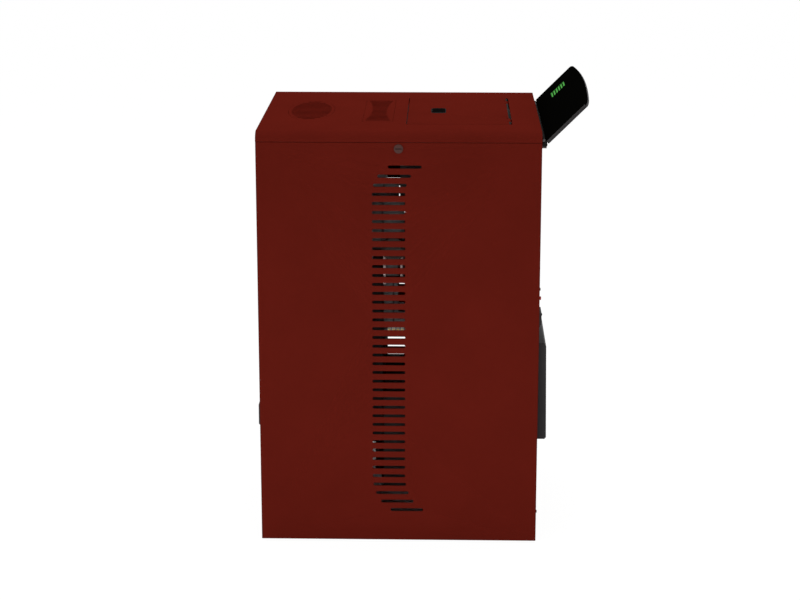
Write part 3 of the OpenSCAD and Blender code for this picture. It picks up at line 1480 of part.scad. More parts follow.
base_tray();
levelling_feet();
front_frame();
rear_frame();
side_panel_right();
side_panel_left();
cam_lock_right();
cam_lock_left();
top_cover();
front_top_grille();
rear_top_grille();
hopper_lid();
lid_pull_cup();
lid_hinge();
hopper();
display_frame();
display_glass();
display_screen();
display_hinge();
upper_front_panel();
plinth_panel();
door_frame();
door_glass();
glass_retainer();
door_gasket();
door_hinge_pins();
door_handle();
door_catch();
drawer_front();
ash_pan();
drawer_runners();
firebox();
firebox_liners();
baffle();
brazier();
brazier_support();
exchanger_hood();
hot_air_duct();
room_fan_housing();
room_fan_wheel();
room_fan_motor();
smoke_collector();
smoke_fan_housing();
smoke_fan_wheel();
smoke_fan_motor();
flue_socket();
air_intake();
igniter();
auger_tube();
auger_bush();
auger_screw();
gearmotor();
rear_panel();
rear_fan_cover();
mains_inlet();
power_switch();
safety_thermostat();
reset_button();
control_board();
pressure_switch();
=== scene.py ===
import bpy
import json
import math
from mathutils import Matrix, Vector


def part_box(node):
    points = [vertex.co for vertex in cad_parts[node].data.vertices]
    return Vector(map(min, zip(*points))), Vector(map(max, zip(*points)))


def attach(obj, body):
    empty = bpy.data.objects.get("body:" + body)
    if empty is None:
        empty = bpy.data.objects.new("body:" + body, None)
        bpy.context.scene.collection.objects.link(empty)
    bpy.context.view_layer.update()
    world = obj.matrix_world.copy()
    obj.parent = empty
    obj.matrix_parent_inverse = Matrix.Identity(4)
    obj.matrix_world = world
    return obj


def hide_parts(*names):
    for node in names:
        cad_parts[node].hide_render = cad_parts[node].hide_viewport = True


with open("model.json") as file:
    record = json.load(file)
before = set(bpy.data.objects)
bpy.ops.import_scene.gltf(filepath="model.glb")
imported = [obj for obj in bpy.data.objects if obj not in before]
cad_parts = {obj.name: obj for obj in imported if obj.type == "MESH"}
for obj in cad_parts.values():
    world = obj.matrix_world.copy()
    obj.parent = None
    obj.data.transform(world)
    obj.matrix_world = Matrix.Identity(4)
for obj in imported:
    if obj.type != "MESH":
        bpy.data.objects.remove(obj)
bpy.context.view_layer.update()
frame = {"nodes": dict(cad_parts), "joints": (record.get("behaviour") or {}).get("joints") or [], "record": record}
nodes = frame["nodes"]
bodies = frame["record"]["behaviour"]["bodies"]
bodyOf = {node: body for body, names in bodies.items() for node in names}
slotOf = {part["node"]: part["material_slot"] for part in frame["record"]["subparts"]}
jointAt = {joint["name"]: joint.get("pos_m") for joint in frame["joints"]}
mm = 0.001
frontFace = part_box("plinth_panel")[0].y    # the casing's front face
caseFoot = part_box("base_tray")[0].z        # the casing's bottom edge
print("frame loaded,", len(nodes), "nodes")


def at(x, back, up):
    # A point given in millimetres from the casing's middle, front face and bottom edge
    return Vector((x * mm, frontFace + back * mm, caseFoot + up * mm))


# Camera: beside the stove, a little above its middle, with its front at the left of the picture
view = {"place": (4.5011, 0.0562, 1.7106), "yaw": -1.411, "pitch": 14.011,
        "lens": 89.55, "sensor": 36, "shiftY": -0.05, "reach": 100}


def placeCamera():
    bpy.ops.object.camera_add(location=view["place"])
    camera = bpy.context.object
    yaw = math.radians(view["yaw"])
    pitch = math.radians(view["pitch"])
    level = math.cos(pitch)
    looking = Vector((-math.cos(yaw) * level, math.sin(yaw) * level, -math.sin(pitch)))
    camera.rotation_euler = looking.to_track_quat("-Z", "Y").to_euler()
    camera.data.lens = view["lens"]
    camera.data.sensor_width = view["sensor"]
    camera.data.shift_y = view["shiftY"]
    camera.data.clip_end = view["reach"]
    bpy.context.scene.camera = camera
    bpy.context.scene.view_settings.view_transform = "Standard"


placeCamera()
print("camera placed")


class Port:
    # One output of a node; sums written with it add Math nodes
    def __init__(self, finish, socket):
        self.finish = finish
        self.socket = socket

    def maths(self, operation, first, second):
        return self.finish.node("ShaderNodeMath", {"operation": operation}, {0: first, 1: second})

    def __add__(self, other):
        return self.maths("ADD", self, other)

    def __radd__(self, other):
        return self.maths("ADD", other, self)

    def __sub__(self, other):
        return self.maths("SUBTRACT", self, other)

    def __rsub__(self, other):
        return self.maths("SUBTRACT", other, self)

    def __mul__(self, other):
        return self.maths("MULTIPLY", self, other)

    def __rmul__(self, other):
        return self.maths("MULTIPLY", other, self)

    def __gt__(self, other):
        return self.maths("GREATER_THAN", self, other)


class Finish:
    # Colour and roughness are the shader's own values; colour() and rough() link over them
    def __init__(self, name, colour, roughness, metallic=0.0, specular=0.3):
        self.material = bpy.data.materials.new(name)
        self.material.use_nodes = True
        self.tree = self.material.node_tree
        self.shader = self.tree.nodes["Principled BSDF"]
        fixed = {"Base Color": (*colour, 1), "Roughness": roughness, "Metallic": metallic,
                 "Specular IOR Level": specular}
        for socket, value in fixed.items():
            self.shader.inputs[socket].default_value = value
        self.place = self.node("ShaderNodeTexCoord", {}, {}, 3)

    def node(self, kind, settings, values, output=0):
        made = self.tree.nodes.new(kind)
        for name, value in settings.items():
            if name == "stops":
                self.setRamp(made.color_ramp, value)
            else:
                setattr(made, name, value)
        for name, value in values.items():
            self.feed(made.inputs[name], value)
        return Port(self, made.outputs[output])

    def setRamp(self, ramp, stops):
        while len(ramp.elements) < len(stops):
            ramp.elements.new(0.5)
        for element, (position, shade) in zip(ramp.elements, stops):
            element.position = position
            element.color = (shade, shade, shade, 1)

    def feed(self, socket, value):
        if isinstance(value, Port):
            self.tree.links.new(value.socket, socket)
        else:
            socket.default_value = value

    def stretched(self, stretch):
        return self.node("ShaderNodeMapping", {}, {"Vector": self.place, "Scale": stretch})

    def noise(self, scale, detail, place=None):
        return self.node("ShaderNodeTexNoise", {},
                         {"Vector": place or self.place, "Scale": scale, "Detail": detail})

    def cells(self, scale, feature="F1", output=0):
        return self.node("ShaderNodeTexVoronoi", {"feature": feature},
                         {"Vector": self.place, "Scale": scale}, output)

    def bands(self, scale, place):
        leaning = {"wave_type": "BANDS", "bands_direction": "DIAGONAL", "wave_profile": "SIN"}
        return self.node("ShaderNodeTexWave", leaning, {"Vector": place, "Scale": scale}, 1)

    def curve(self, value, *stops):
        return self.node("ShaderNodeValToRGB", {"stops": stops}, {"Fac": value})

    def blend(self, mask, first, second):
        colours = [value if isinstance(value, Port) else (*value, 1) for value in (first, second)]
        return self.node("ShaderNodeMix", {"data_type": "RGBA"},
                         {0: mask, 6: colours[0], 7: colours[1]}, 2)

    def shadeOf(self, colour):
        # One channel of a colour, as a plain number
        return self.node("ShaderNodeSeparateColor", {}, {0: colour})

    def axis(self, name):
        return self.node("ShaderNodeSeparateXYZ", {}, {"Vector": self.place}, "XYZ".index(name))

    def size(self, value):
        return self.node("ShaderNodeMath", {"operation": "ABSOLUTE"}, {0: value})

    def colour(self, value):
        self.feed(self.shader.inputs["Base Color"], value)

    def rough(self, value):
        self.feed(self.shader.inputs["Roughness"], value)

    def bump(self, height, depth, strength):
        normal = self.node("ShaderNodeBump", {},
                           {"Height": height, "Distance": depth, "Strength": strength})
        self.feed(self.shader.inputs["Normal"], normal)


# Red powder coat: fine orange peel, very slight cloudiness, a little dust in the gloss
enamel = {"deep": (0.0915, 0.0083, 0.0049), "light": (0.099, 0.0089, 0.0053), "roughness": 0.45,
          "cloud": 7, "speck": 2600, "peel": 1100, "peelDepth": 0.00025}


def redEnamel():
    finish = Finish("redEnamel", enamel["light"], enamel["roughness"], specular=0.0)
    mottle = finish.noise(enamel["cloud"], 4) * 0.8 + finish.noise(enamel["speck"], 1) * 0.2
    finish.colour(finish.blend(finish.curve(mottle, (0.35, 0), (0.65, 1)),
                               enamel["deep"], enamel["light"]))
    finish.rough(enamel["roughness"] + 0.12 * finish.noise(40, 5) - 0.06)
    finish.bump(finish.noise(enamel["peel"], 2), enamel["peelDepth"], 0.25)
    return finish.material


blackPaint = {"colour": (0.0165, 0.016, 0.0157), "worn": (0.022, 0.0215, 0.021), "roughness": 0.62,
              "patches": 45, "grain": 1800, "grainDepth": 0.0003}


def blackEnamel():
    finish = Finish("blackEnamel", blackPaint["colour"], blackPaint["roughness"], specular=0.25)
    patches = finish.curve(finish.noise(blackPaint["patches"], 6), (0.4, 0), (0.75, 1))
    finish.colour(finish.blend(patches, blackPaint["colour"], blackPaint["worn"]))
    finish.rough(blackPaint["roughness"] + 0.15 * finish.noise(60, 3) - 0.07)
    finish.bump(finish.noise(blackPaint["grain"], 2), blackPaint["grainDepth"], 0.35)
    return finish.material


moulding = {"colour": (0.02, 0.0178, 0.0187), "worn": (0.025, 0.0225, 0.0235), "roughness": 0.52,
            "grain": 2400, "grainDepth": 0.00015}


def darkPlastic():
    finish = Finish("darkPlastic", moulding["colour"], moulding["roughness"], specular=0.18)
    finish.colour(finish.blend(finish.noise(30, 4), moulding["colour"], moulding["worn"]))
    finish.rough(moulding["roughness"] + 0.1 * finish.noise(90, 3))
    finish.bump(finish.cells(moulding["grain"]), moulding["grainDepth"], 0.4)
    return finish.material


phosphated = {"plain": (0.07, 0.06, 0.058), "dark": (0.055, 0.046, 0.044),
              "light": (0.09, 0.078, 0.074), "plainRough": 0.42, "roughness": 0.36}


def darkMetal():
    finish = Finish("darkMetal", phosphated["plain"], phosphated["plainRough"], metallic=0.6)
    finish.colour(finish.blend(finish.noise(120, 5), phosphated["dark"], phosphated["light"]))
    finish.rough(phosphated["roughness"] + 0.2 * finish.noise(200, 4))
    finish.bump(finish.noise(3000, 1), 0.0001, 0.3)
    return finish.material


bronze = {"plain": (0.06, 0.026, 0.022), "dark": (0.05, 0.021, 0.018),
          "light": (0.07, 0.03, 0.026), "plainRough": 0.5, "roughness": 0.44}


def bronzed():
    finish = Finish("bronzed", bronze["plain"], bronze["plainRough"], metallic=0.1, specular=0.08)
    finish.colour(finish.blend(finish.noise(160, 5), bronze["dark"], bronze["light"]))
    finish.rough(bronze["roughness"] + 0.2 * finish.noise(220, 4))
    finish.bump(finish.noise(2500, 1), 0.0001, 0.3)
    return finish.material


darkPane = {"colour": (0.0012, 0.0012, 0.001), "plainRough": 0.16, "roughness": 0.13, "smears": 14}


def blackGlass():
    finish = Finish("blackGlass", darkPane["colour"], darkPane["plainRough"], specular=0.0)
    smears = finish.curve(finish.noise(darkPane["smears"], 6), (0.4, 0), (0.7, 1))
    finish.rough(darkPane["roughness"] + 0.1 * smears)
    return finish.material


screenTint = {"field": (0.0016, 0.004, 0.002), "dot": (0.003, 0.008, 0.004),
              "unlit": (0.01, 0.05, 0.01), "dim": (0.07, 0.33, 0.06), "lit": (0.09, 0.4, 0.075),
              "glow": 0.95}


def litScreen():
    finish = Finish("litScreen", screenTint["field"], 0.2, specular=0.0)
    dots = finish.curve(finish.cells(1100), (0.2, 0), (0.5, 1))
    finish.colour(finish.blend(dots, screenTint["dot"], screenTint["field"]))
    return finish.material


def litSegment():
    finish = Finish("litSegment", screenTint["unlit"], 0.4, specular=0.0)
    finish.shader.inputs["Emission Strength"].default_value = screenTint["glow"]
    glow = finish.curve(finish.noise(700, 1), (0.2, 0), (0.8, 1))
    finish.feed(finish.shader.inputs["Emission Color"],
                finish.blend(glow, screenTint["dim"], screenTint["lit"]))
    return finish.material


# Ceramic glass with a printed black border, inside the lap that lies behind the door frame
window = {"colour": (0.006, 0.0055, 0.005), "clear": 0.34, "border": 10 * mm, "lap": 14 * mm}


def ceramicGlass():
    finish = Finish("ceramicGlass", window["colour"], 0.05, specular=0.22)
    low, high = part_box("door_glass")
    halfWide = (high.x - low.x) / 2 - window["lap"] - window["border"]
    halfTall = (high.z - low.z) / 2 - window["lap"] - window["border"]
    across = finish.size(finish.axis("X"))
    upDown = finish.size(finish.axis("Z") - (low.z + high.z) / 2)
    printed = (across > halfWide) + (upDown > halfTall)
    printed.socket.node.use_clamp = True
    soot = finish.curve(finish.noise(9, 5), (0.35, 0), (0.8, 1))
    clear = window["clear"] + 0.12 * soot
    finish.feed(finish.shader.inputs["Alpha"], clear + printed * (1 - clear))
    return finish.material


zinc = {"plain": (0.14, 0.14, 0.135), "dark": (0.1, 0.1, 0.105), "light": (0.17, 0.17, 0.165),
        "plainRough": 0.5, "roughness": 0.42, "spangle": 55}


def zincSheet():
    finish = Finish("zincSheet", zinc["plain"], zinc["plainRough"], metallic=0.5)
    shade = finish.shadeOf(finish.cells(zinc["spangle"], output=1))
    finish.colour(finish.blend(shade, zinc["dark"], zinc["light"]))
    finish.rough(zinc["roughness"] + 0.2 * shade)
    finish.bump(finish.noise(500, 3), 0.0002, 0.2)
    return finish.material


brushing = {"plain": (0.5, 0.5, 0.5), "dark": (0.25, 0.25, 0.255), "light": (0.4, 0.4, 0.4),
            "plainRough": 0.35, "roughness": 0.32, "stretch": (1, 1, 40)}


def bareSteel():
    finish = Finish("bareSteel", brushing["plain"], brushing["plainRough"], metallic=1.0)
    brushed = finish.noise(60, 5, finish.stretched(brushing["stretch"]))
    finish.colour(finish.blend(brushed, brushing["dark"], brushing["light"]))
    finish.rough(brushing["roughness"] + 0.22 * brushed)
    finish.bump(brushed, 0.0002, 0.2)
    return finish.material


rolling = {"plain": (0.05, 0.048, 0.047), "dark": (0.04, 0.038, 0.037),
           "light": (0.075, 0.072, 0.07), "plainRough": 0.7, "roughness": 0.6,
           "stretch": (1, 1, 12)}


def dullSheet():
    finish = Finish("dullSheet", rolling["plain"], rolling["plainRough"],
                    metallic=0.3, specular=0.1)
    rolled = finish.noise(50, 5, finish.stretched(rolling["stretch"]))
    finish.colour(finish.blend(rolled, rolling["dark"], rolling["light"]))
    finish.rough(rolling["roughness"] + 0.2 * rolled)
    finish.bump(finish.noise(800, 3), 0.0002, 0.2)
    return finish.material


casting = {"dark": (0.024, 0.0238, 0.024), "light": (0.034, 0.0334, 0.0335), "roughness": 0.74,
           "sand": 420, "pits": 700, "depth": 0.0004}


def castIron():
    finish = Finish("castIron", casting["dark"], casting["roughness"], specular=0.06)
    sand = finish.noise(casting["sand"], 6)
    mottle = finish.noise(60, 6) * 0.6 + sand * 0.4
    finish.colour(finish.blend(finish.curve(mottle, (0.35, 0), (0.7, 1)),
                               casting["dark"], casting["light"]))
    finish.rough(casting["roughness"] + 0.15 * sand - 0.07)
    finish.bump(sand + 0.3 * finish.cells(casting["pits"]), casting["depth"], 0.3)
    return finish.material


# Vermiculite: pale and golden flakes, sooty towards the top
brick = {"gold": (0.42, 0.31, 0.2), "pale": (0.55, 0.46, 0.34), "soot": (0.09, 0.08, 0.07),
         "flakes": 330, "sootShare": 0.6}


def fireBrick():
    finish = Finish("fireBrick", brick["pale"], 0.95, specular=0.1)
    flakes = finish.shadeOf(finish.cells(brick["flakes"], output=1))
    body = finish.blend(flakes, brick["gold"], brick["pale"])
    sooty = finish.curve(finish.noise(5, 5) + 0.5 * finish.axis("Z"), (0.6, 0), (0.85, 1))
    finish.colour(finish.blend(sooty * brick["sootShare"], body, brick["soot"]))
    finish.bump(finish.cells(brick["flakes"]), 0.0008, 0.6)
    return finish.material


rope = {"plain": (0.2, 0.19, 0.17), "dark": (0.1, 0.095, 0.085), "light": (0.3, 0.28, 0.25),
        "strands": 90, "depth": 0.0012}


def ropeSeal():
    finish = Finish("ropeSeal", rope["plain"], 0.95, specular=0.1)
    strands = finish.bands(rope["strands"], finish.place)
    braid = strands * finish.bands(rope["strands"], finish.stretched((-1, 1, 1)))
    finish.colour(finish.blend(braid, rope["dark"], rope["light"]))
    finish.bump(braid, rope["depth"], 0.8)
    return finish.material


brass = {"plain": (0.6, 0.42, 0.15), "dark": (0.5, 0.34, 0.12), "light": (0.65, 0.47, 0.19),
         "plainRough": 0.35, "roughness": 0.28}


def brassFinish():
    finish = Finish("brass", brass["plain"], brass["plainRough"], metallic=1.0)
    finish.colour(finish.blend(finish.noise(90, 4), brass["dark"], brass["light"]))
    finish.rough(brass["roughness"] + 0.2 * finish.noise(300, 3))
    return finish.material


ivory = {"plain": (0.62, 0.59, 0.55), "dark": (0.56, 0.52, 0.47), "light": (0.68, 0.65, 0.6),
         "plainRough": 0.45, "roughness": 0.4}


def whitePlastic():
    finish = Finish("whitePlastic", ivory["plain"], ivory["plainRough"], specular=0.3)
    finish.colour(finish.blend(finish.noise(50, 4), ivory["dark"], ivory["light"]))
    finish.rough(ivory["roughness"] + 0.15 * finish.noise(120, 3))
    finish.bump(finish.noise(1500, 1), 0.0001, 0.3)
    return finish.material


hoseTint = {"plain": (0.6, 0.42, 0.4), "dark": (0.55, 0.36, 0.34), "light": (0.72, 0.6, 0.58),
            "plainRough": 0.4, "roughness": 0.34}


def paleHose():
    finish = Finish("paleHose", hoseTint["plain"], hoseTint["plainRough"], specular=0.3)
    finish.colour(finish.blend(finish.noise(140, 3), hoseTint["dark"], hoseTint["light"]))
    finish.rough(hoseTint["roughness"] + 0.14 * finish.noise(200, 2))
    return finish.material


drumTint = {"plain": (0.05, 0.036, 0.03), "dark": (0.04, 0.028, 0.023),
            "light": (0.062, 0.046, 0.039), "plainRough": 0.5, "roughness": 0.45}


def brownDrum():
    finish = Finish("brownDrum", drumTint["plain"], drumTint["plainRough"], specular=0.2)
    finish.colour(finish.blend(finish.noise(110, 4), drumTint["dark"], drumTint["light"]))
    finish.rough(drumTint["roughness"] + 0.15 * finish.noise(160, 3))
    finish.bump(finish.cells(1800), 0.0001, 0.3)
    return finish.material


signalRed = {"colour": (0.32, 0.01, 0.008), "plainRough": 0.3, "roughness": 0.26}


def redPlastic():
    finish = Finish("redPlastic", signalRed["colour"], signalRed["plainRough"], specular=0.35)
    finish.rough(signalRed["roughness"] + 0.12 * finish.noise(220, 3))
    return finish.material


boardTint = {"plain": (0.008, 0.08, 0.025), "green": (0.006, 0.06, 0.02),
             "track": (0.03, 0.16, 0.05), "plainRough": 0.45, "roughness": 0.35, "tracks": 260}


def circuitBoard():
    finish = Finish("circuitBoard", boardTint["plain"], boardTint["plainRough"], specular=0.35)
    edges = finish.cells(boardTint["tracks"], feature="DISTANCE_TO_EDGE")
    copper = finish.curve(edges, (0.03, 1), (0.06, 0))
    finish.colour(finish.blend(copper, boardTint["green"], boardTint["track"]))
    finish.rough(boardTint["roughness"] + 0.2 * copper)
    finish.bump(copper, 0.0001, 0.5)
    return finish.material


rubber = {"plain": (0.01, 0.0095, 0.009), "dark": (0.007, 0.0065, 0.006),
          "light": (0.014, 0.013, 0.012), "roughness": 0.85}


def blackRubber():
    finish = Finish("blackRubber", rubber["plain"], rubber["roughness"], specular=0.04)
    finish.colour(finish.blend(finish.noise(80, 4), rubber["dark"], rubber["light"]))
    finish.bump(finish.noise(1600, 2), 0.0002, 0.4)
    return finish.material


finishes = {
    "red_enamel": redEnamel(), "black_enamel": blackEnamel(), "dark_plastic": darkPlastic(),
    "dark_metal": darkMetal(), "black_glass": blackGlass(), "lit_screen": litScreen(),
    "ceramic_glass": ceramicGlass(), "zinc_sheet": zincSheet(), "bare_steel": bareSteel(),
    "cast_iron": castIron(), "fire_brick": fireBrick(), "rope_seal": ropeSeal(),
    "brass": brassFinish(), "white_plastic": whitePlastic(), "red_plastic": redPlastic(),
    "circuit_board": circuitBoard(),
}
special = {"segments": litSegment(), "hose": paleHose(), "dullSheet": dullSheet(),
           "bronze": bronzed(), "drum": brownDrum(), "rubber": blackRubber()}
print("finishes made,", len(finishes) + len(special))


def letGo():
    if bpy.context.object and bpy.context.object.mode != "OBJECT":
        bpy.ops.object.mode_set(mode="OBJECT")
    bpy.ops.object.select_all(action="DESELECT")


def hold(piece):
    letGo()
    piece.select_set(True)
    bpy.context.view_layer.objects.active = piece


def holdAllOf(piece):
    hold(piece)
    bpy.ops.object.mode_set(mode="EDIT")
    bpy.ops.mesh.select_all(action="SELECT")


def settle(name):
    piece = bpy.context.object
    piece.name = name
    bpy.ops.object.transform_apply(location=True, rotation=True, scale=True)
    return piece


def startBlock(name, low, high):
    letGo()
    middle = (Vector(low) + Vector(high)) / 2
    bpy.ops.mesh.primitive_cube_add(size=1, location=middle, scale=Vector(high) - Vector(low))
    return settle(name)


def startRod(name, radius, base, tip, sides=32):
    letGo()
    along = Vector(tip) - Vector(base)
    bpy.ops.mesh.primitive_cylinder_add(radius=radius, depth=along.length, vertices=sides,
                                        location=(Vector(base) + Vector(tip)) / 2,
                                        rotation=along.to_track_quat("Z", "Y").to_euler())
    return settle(name)


def pickFaces(piece, wanted):
    # Leaves the piece in edit mode with just the wanted faces selected
    hold(piece)
    bpy.ops.object.mode_set(mode="EDIT")
    bpy.ops.mesh.select_mode(type="FACE")
    bpy.ops.mesh.select_all(action="DESELECT")
    bpy.ops.object.mode_set(mode="OBJECT")
    for face in piece.data.polygons:
        face.select = wanted(face.center, face.normal)
    bpy.ops.object.mode_set(mode="EDIT")


def faceAlong(direction):
    heading = Vector(direction).normalized()
    return lambda centre, normal: normal.dot(heading) > 0.99


def faceAt(direction, spot, within=2 * mm):
    along = faceAlong(direction)
    return lambda centre, normal: along(centre, normal) and (centre - spot).length < within


def inset(piece, wanted, width, depth=0.0):
    pickFaces(piece, wanted)
    bpy.ops.mesh.inset(thickness=width, depth=depth)
    letGo()


def pushOut(piece, wanted, shift):
    pickFaces(piece, wanted)
    bpy.ops.mesh.extrude_region_move(TRANSFORM_OT_translate={"value": shift})
    letGo()


def roundEdges(piece, width, segments=2):
    hold(piece)
    bevel = piece.modifiers.new("edges", "BEVEL")
    bevel.width = width
    bevel.segments = segments
    bevel.limit_method = "ANGLE"
    bevel.angle_limit = math.radians(30)
    bpy.ops.object.modifier_apply(modifier="edges")
    bpy.ops.object.shade_smooth_by_angle(angle=math.radians(40))


def cutAway(piece, cutter):
    hold(piece)
    boolean = piece.modifiers.new("cut", "BOOLEAN")
    boolean.operation = "DIFFERENCE"
    boolean.object = cutter
    bpy.ops.object.modifier_apply(modifier="cut")
    bpy.data.objects.remove(cutter)


def join(name, pieces):
    hold(pieces[0])
    for piece in pieces:
        piece.select_set(True)
    bpy.ops.object.join()
    pieces[0].name = name
    return pieces[0]


def copyTo(piece, matrix):
    twin = bpy.data.objects.new(piece.name, piece.data.copy())
    bpy.context.scene.collection.objects.link(twin)
    twin.data.transform(matrix)
    return twin


def scatter(name, piece, matrices):
    # Copies of a piece that was modelled once at the origin, joined into one
    copies = [copyTo(piece, matrix) for matrix in matrices]
    bpy.data.objects.remove(piece)
    return join(name, copies)


def give(piece, finish, body):
    piece.data.materials.clear()
    piece.data.materials.append(finish)
    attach(piece, body)


# Display: its two free corners are rounded, and the carrier's rim stands up beside the glass.
# Sizes are across the display, and along it from its hinge
display = {"corner": (273.5, 128), "cornerStart": (223.5, 132), "steps": 7,
           "rounding": {"display_glass": 10, "display_frame": 6}, "glassInset": 0.6,
           "rimWide": 1.4, "rimFrom": 8, "rimTo": 121.5, "rimFoot": -2, "rimTop": 3.5,
           "barrelRadius": 5.4, "barrelReach": 224, "stub": (256.6, 273)}
displayTurn = Matrix.Rotation(math.radians(45), 4, "X")
displayPlane = Matrix.Translation(Vector(jointAt["display_tilt"])) @ displayTurn


def roundCorners(piece, drop, shrink):
    # Trims the free corners along the tangents of a long, shallow curve
    begin = Vector((*display["cornerStart"], 0)) * mm
    corner = Vector((*display["corner"], 0)) * mm
    ending = corner - Vector((0, drop * mm, 0))
    for k in range(display["steps"]):
        t = (k + 0.5) / display["steps"]
        touch = begin * (1 - t) ** 2 + corner * 2 * t * (1 - t) + ending * t ** 2
        along = (corner - begin) * (1 - t) + (ending - corner) * t
        outward = Vector((-along.y, along.x, 0)).normalized()
        touch -= outward * shrink * mm
        for side in (1, -1):
            place = displayPlane @ Vector((side * touch.x, touch.y, 0))
            normal = displayPlane.to_3x3() @ Vector((side * outward.x, outward.y, 0))
            holdAllOf(piece)
            bpy.ops.mesh.bisect(plane_co=place, plane_no=normal, clear_outer=True, use_fill=True)
            letGo()


def narrowGlass(piece):
    # Makes room for the carrier's rim on both sides
    for vertex in piece.data.vertices:
        if abs(vertex.co.x) > (display["corner"][0] - 1.5) * mm:
            vertex.co.x -= math.copysign(display["rimWide"] * mm, vertex.co.x)


# The casing and the works keep the shapes of the frame; each is copied, merged and gets soft edges
softness = {"red_enamel": 0.7, "black_enamel": 0.8, "dark_plastic": 0.9, "dark_metal": 0.5,
            "black_glass": 0.6, "ceramic_glass": 0.8, "zinc_sheet": 0.3, "bare_steel": 0.3,
            "cast_iron": 1.0, "fire_brick": 1.0, "rope_seal": 4.0, "brass": 0.3,
            "white_plastic": 0.6, "red_plastic": 0.8}
ownSoftness = {"side_panel_right": 0.5, "side_panel_left": 0.5, "hopper": 0.5, "auger_screw": 0.2,
               "power_switch": 0.5, "mains_inlet": 0.6, "base_tray": 0.5, "exchanger_hood": 0.5}
ownFinish = {"hopper": special["dullSheet"], "air_intake": special["dullSheet"],
             "auger_tube": special["dullSheet"], "lid_hinge": finishes["red_enamel"],
             "cam_lock_right": special["bronze"], "cam_lock_left": special["bronze"],
             "lid_pull_cup": special["rubber"]}
modelledHere = ["display_screen", "pressure_switch", "control_board", "room_fan_wheel",
                "levelling_feet"]


def soften(node):
    piece = bpy.data.objects.new(node + "_soft", nodes[node].data.copy())
    bpy.context.scene.collection.objects.link(piece)
    holdAllOf(piece)
    bpy.ops.mesh.remove_doubles(threshold=0.01 * mm)
    bpy.ops.mesh.dissolve_limited(angle_limit=math.radians(0.5))
    letGo()
    if node == "display_glass":
        narrowGlass(piece)
        roundCorners(piece, display["rounding"][node], display["glassInset"])
    if node == "display_frame":
        roundCorners(piece, display["rounding"][node], 0)
    slot = slotOf[node]
    roundEdges(piece, ownSoftness.get(node, softness[slot]) * mm, 3 if slot == "rope_seal" else 2)
    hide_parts(node)
    give(piece, ownFinish.get(node, finishes[slot]), bodyOf[node])


for node in sorted(nodes):
    if node not in modelledHere:
        soften(node)
print("casing and works dressed")


def displayRim():
    # The carrier's two upstanding sides and the dark barrel round its hinge pins
    edge = display["corner"][0]
    wide = display["rimWide"]
    strips = [startBlock("side", Vector((x, display["rimFrom"], display["rimFoot"])) * mm,
                         Vector((x + wide, display["rimTo"], display["rimTop"])) * mm)
              for x in (-edge, edge - wide)]
    reach = display["barrelReach"] * mm
    near, far = (x * mm for x in display["stub"])
    barrel = [startRod("barrel", display["barrelRadius"] * mm, (start, 0, 0), (end, 0, 0), 40)
              for start, end in ((-reach, reach), (near, far), (-far, -near))]
    for name, pieces, finish in (("display_rim", strips, finishes["dark_plastic"]),
                                 ("display_barrel", barrel, special["rubber"])):
        made = join(name, pieces)
        made.data.transform(displayPlane)
        roundEdges(made, 0.5 * mm)
        give(made, finish, "display")


displayRim()


# Dark rubber tube round the lid's hinge line, between and beside the knuckles: painted shade that fills the hinge
# gap, where the seam lies in shadow
lidShadeTube = {"radius": 3.7, "middle": (-100, 100), "ends": (140, 174)}


def lidHingeShadeTube():
    axis = Vector(jointAt["lid_hinge"])
    radius = lidShadeTube["radius"] * mm
    near, far = lidShadeTube["ends"]
    made = [startRod("tube", radius, (start * mm, axis.y, axis.z), (end * mm, axis.y, axis.z))
            for start, end in (lidShadeTube["middle"], (near, far), (-far, -near))]
    # The tube's dark rubber is painted shade standing in for the shadow inside the hinge gap
    tube = join("lid_hinge_tube", made)
    roundEdges(tube, 0.4 * mm)
    give(tube, special["rubber"], bodyOf["hopper_lid"])


lidHingeShadeTube()
print("display's rim and hinge tubes modelled")


# Screws with a cross recess, modelled once with the head upwards. Rim, cross reach and cross
# width are shares of the head's radius, and root, dish and dome of its height
screw = {"headRadius": 3.6, "headHeight": 2.0, "recess": 1.1, "sides": 24, "rim": 0.3,
         "crossReach": 0.55, "crossWide": 0.14, "root": 0.3, "dish": 0.15, "dome": 0.35}


def crossScrew(scale):
    radius = screw["headRadius"] * scale * mm
    height = screw["headHeight"] * scale * mm
    head = startRod("screw", radius, (0, 0, -screw["root"] * height), (0, 0, height),
                    screw["sides"])
    inset(head, faceAlong((0, 0, 1)), radius * screw["rim"], height * screw["dish"])
    roundEdges(head, height * screw["dome"], 3)
    reach = radius * screw["crossReach"]
    thick = radius * screw["crossWide"]
    floor = height - screw["recess"] * scale * mm
    for wide, deep in ((reach, thick), (thick, reach)):
        cutAway(head, startBlock("recess", (-wide, -deep, floor), (wide, deep, height * 2)))
    bpy.ops.object.shade_smooth_by_angle(angle=math.radians(40))
    return head


def facing(point, direction):
    turn = Vector(direction).to_track_quat("Z", "Y").to_matrix().to_4x4()
    return Matrix.Translation(point) @ turn


def screwRow(name, places, direction, slot, scale):
    row = scatter(name, crossScrew(scale), [facing(point, direction) for point in places])
    give(row, finishes[slot], "casing")


rear = {"panelScrews": (40, 190, 470, 700, 880), "panelEdge": 8, "flangeScrews": (67, 586),
        "flangeX": 269, "screwScale": 0.9, "earScrew": (2.2, 3), "earScale": 0.5}


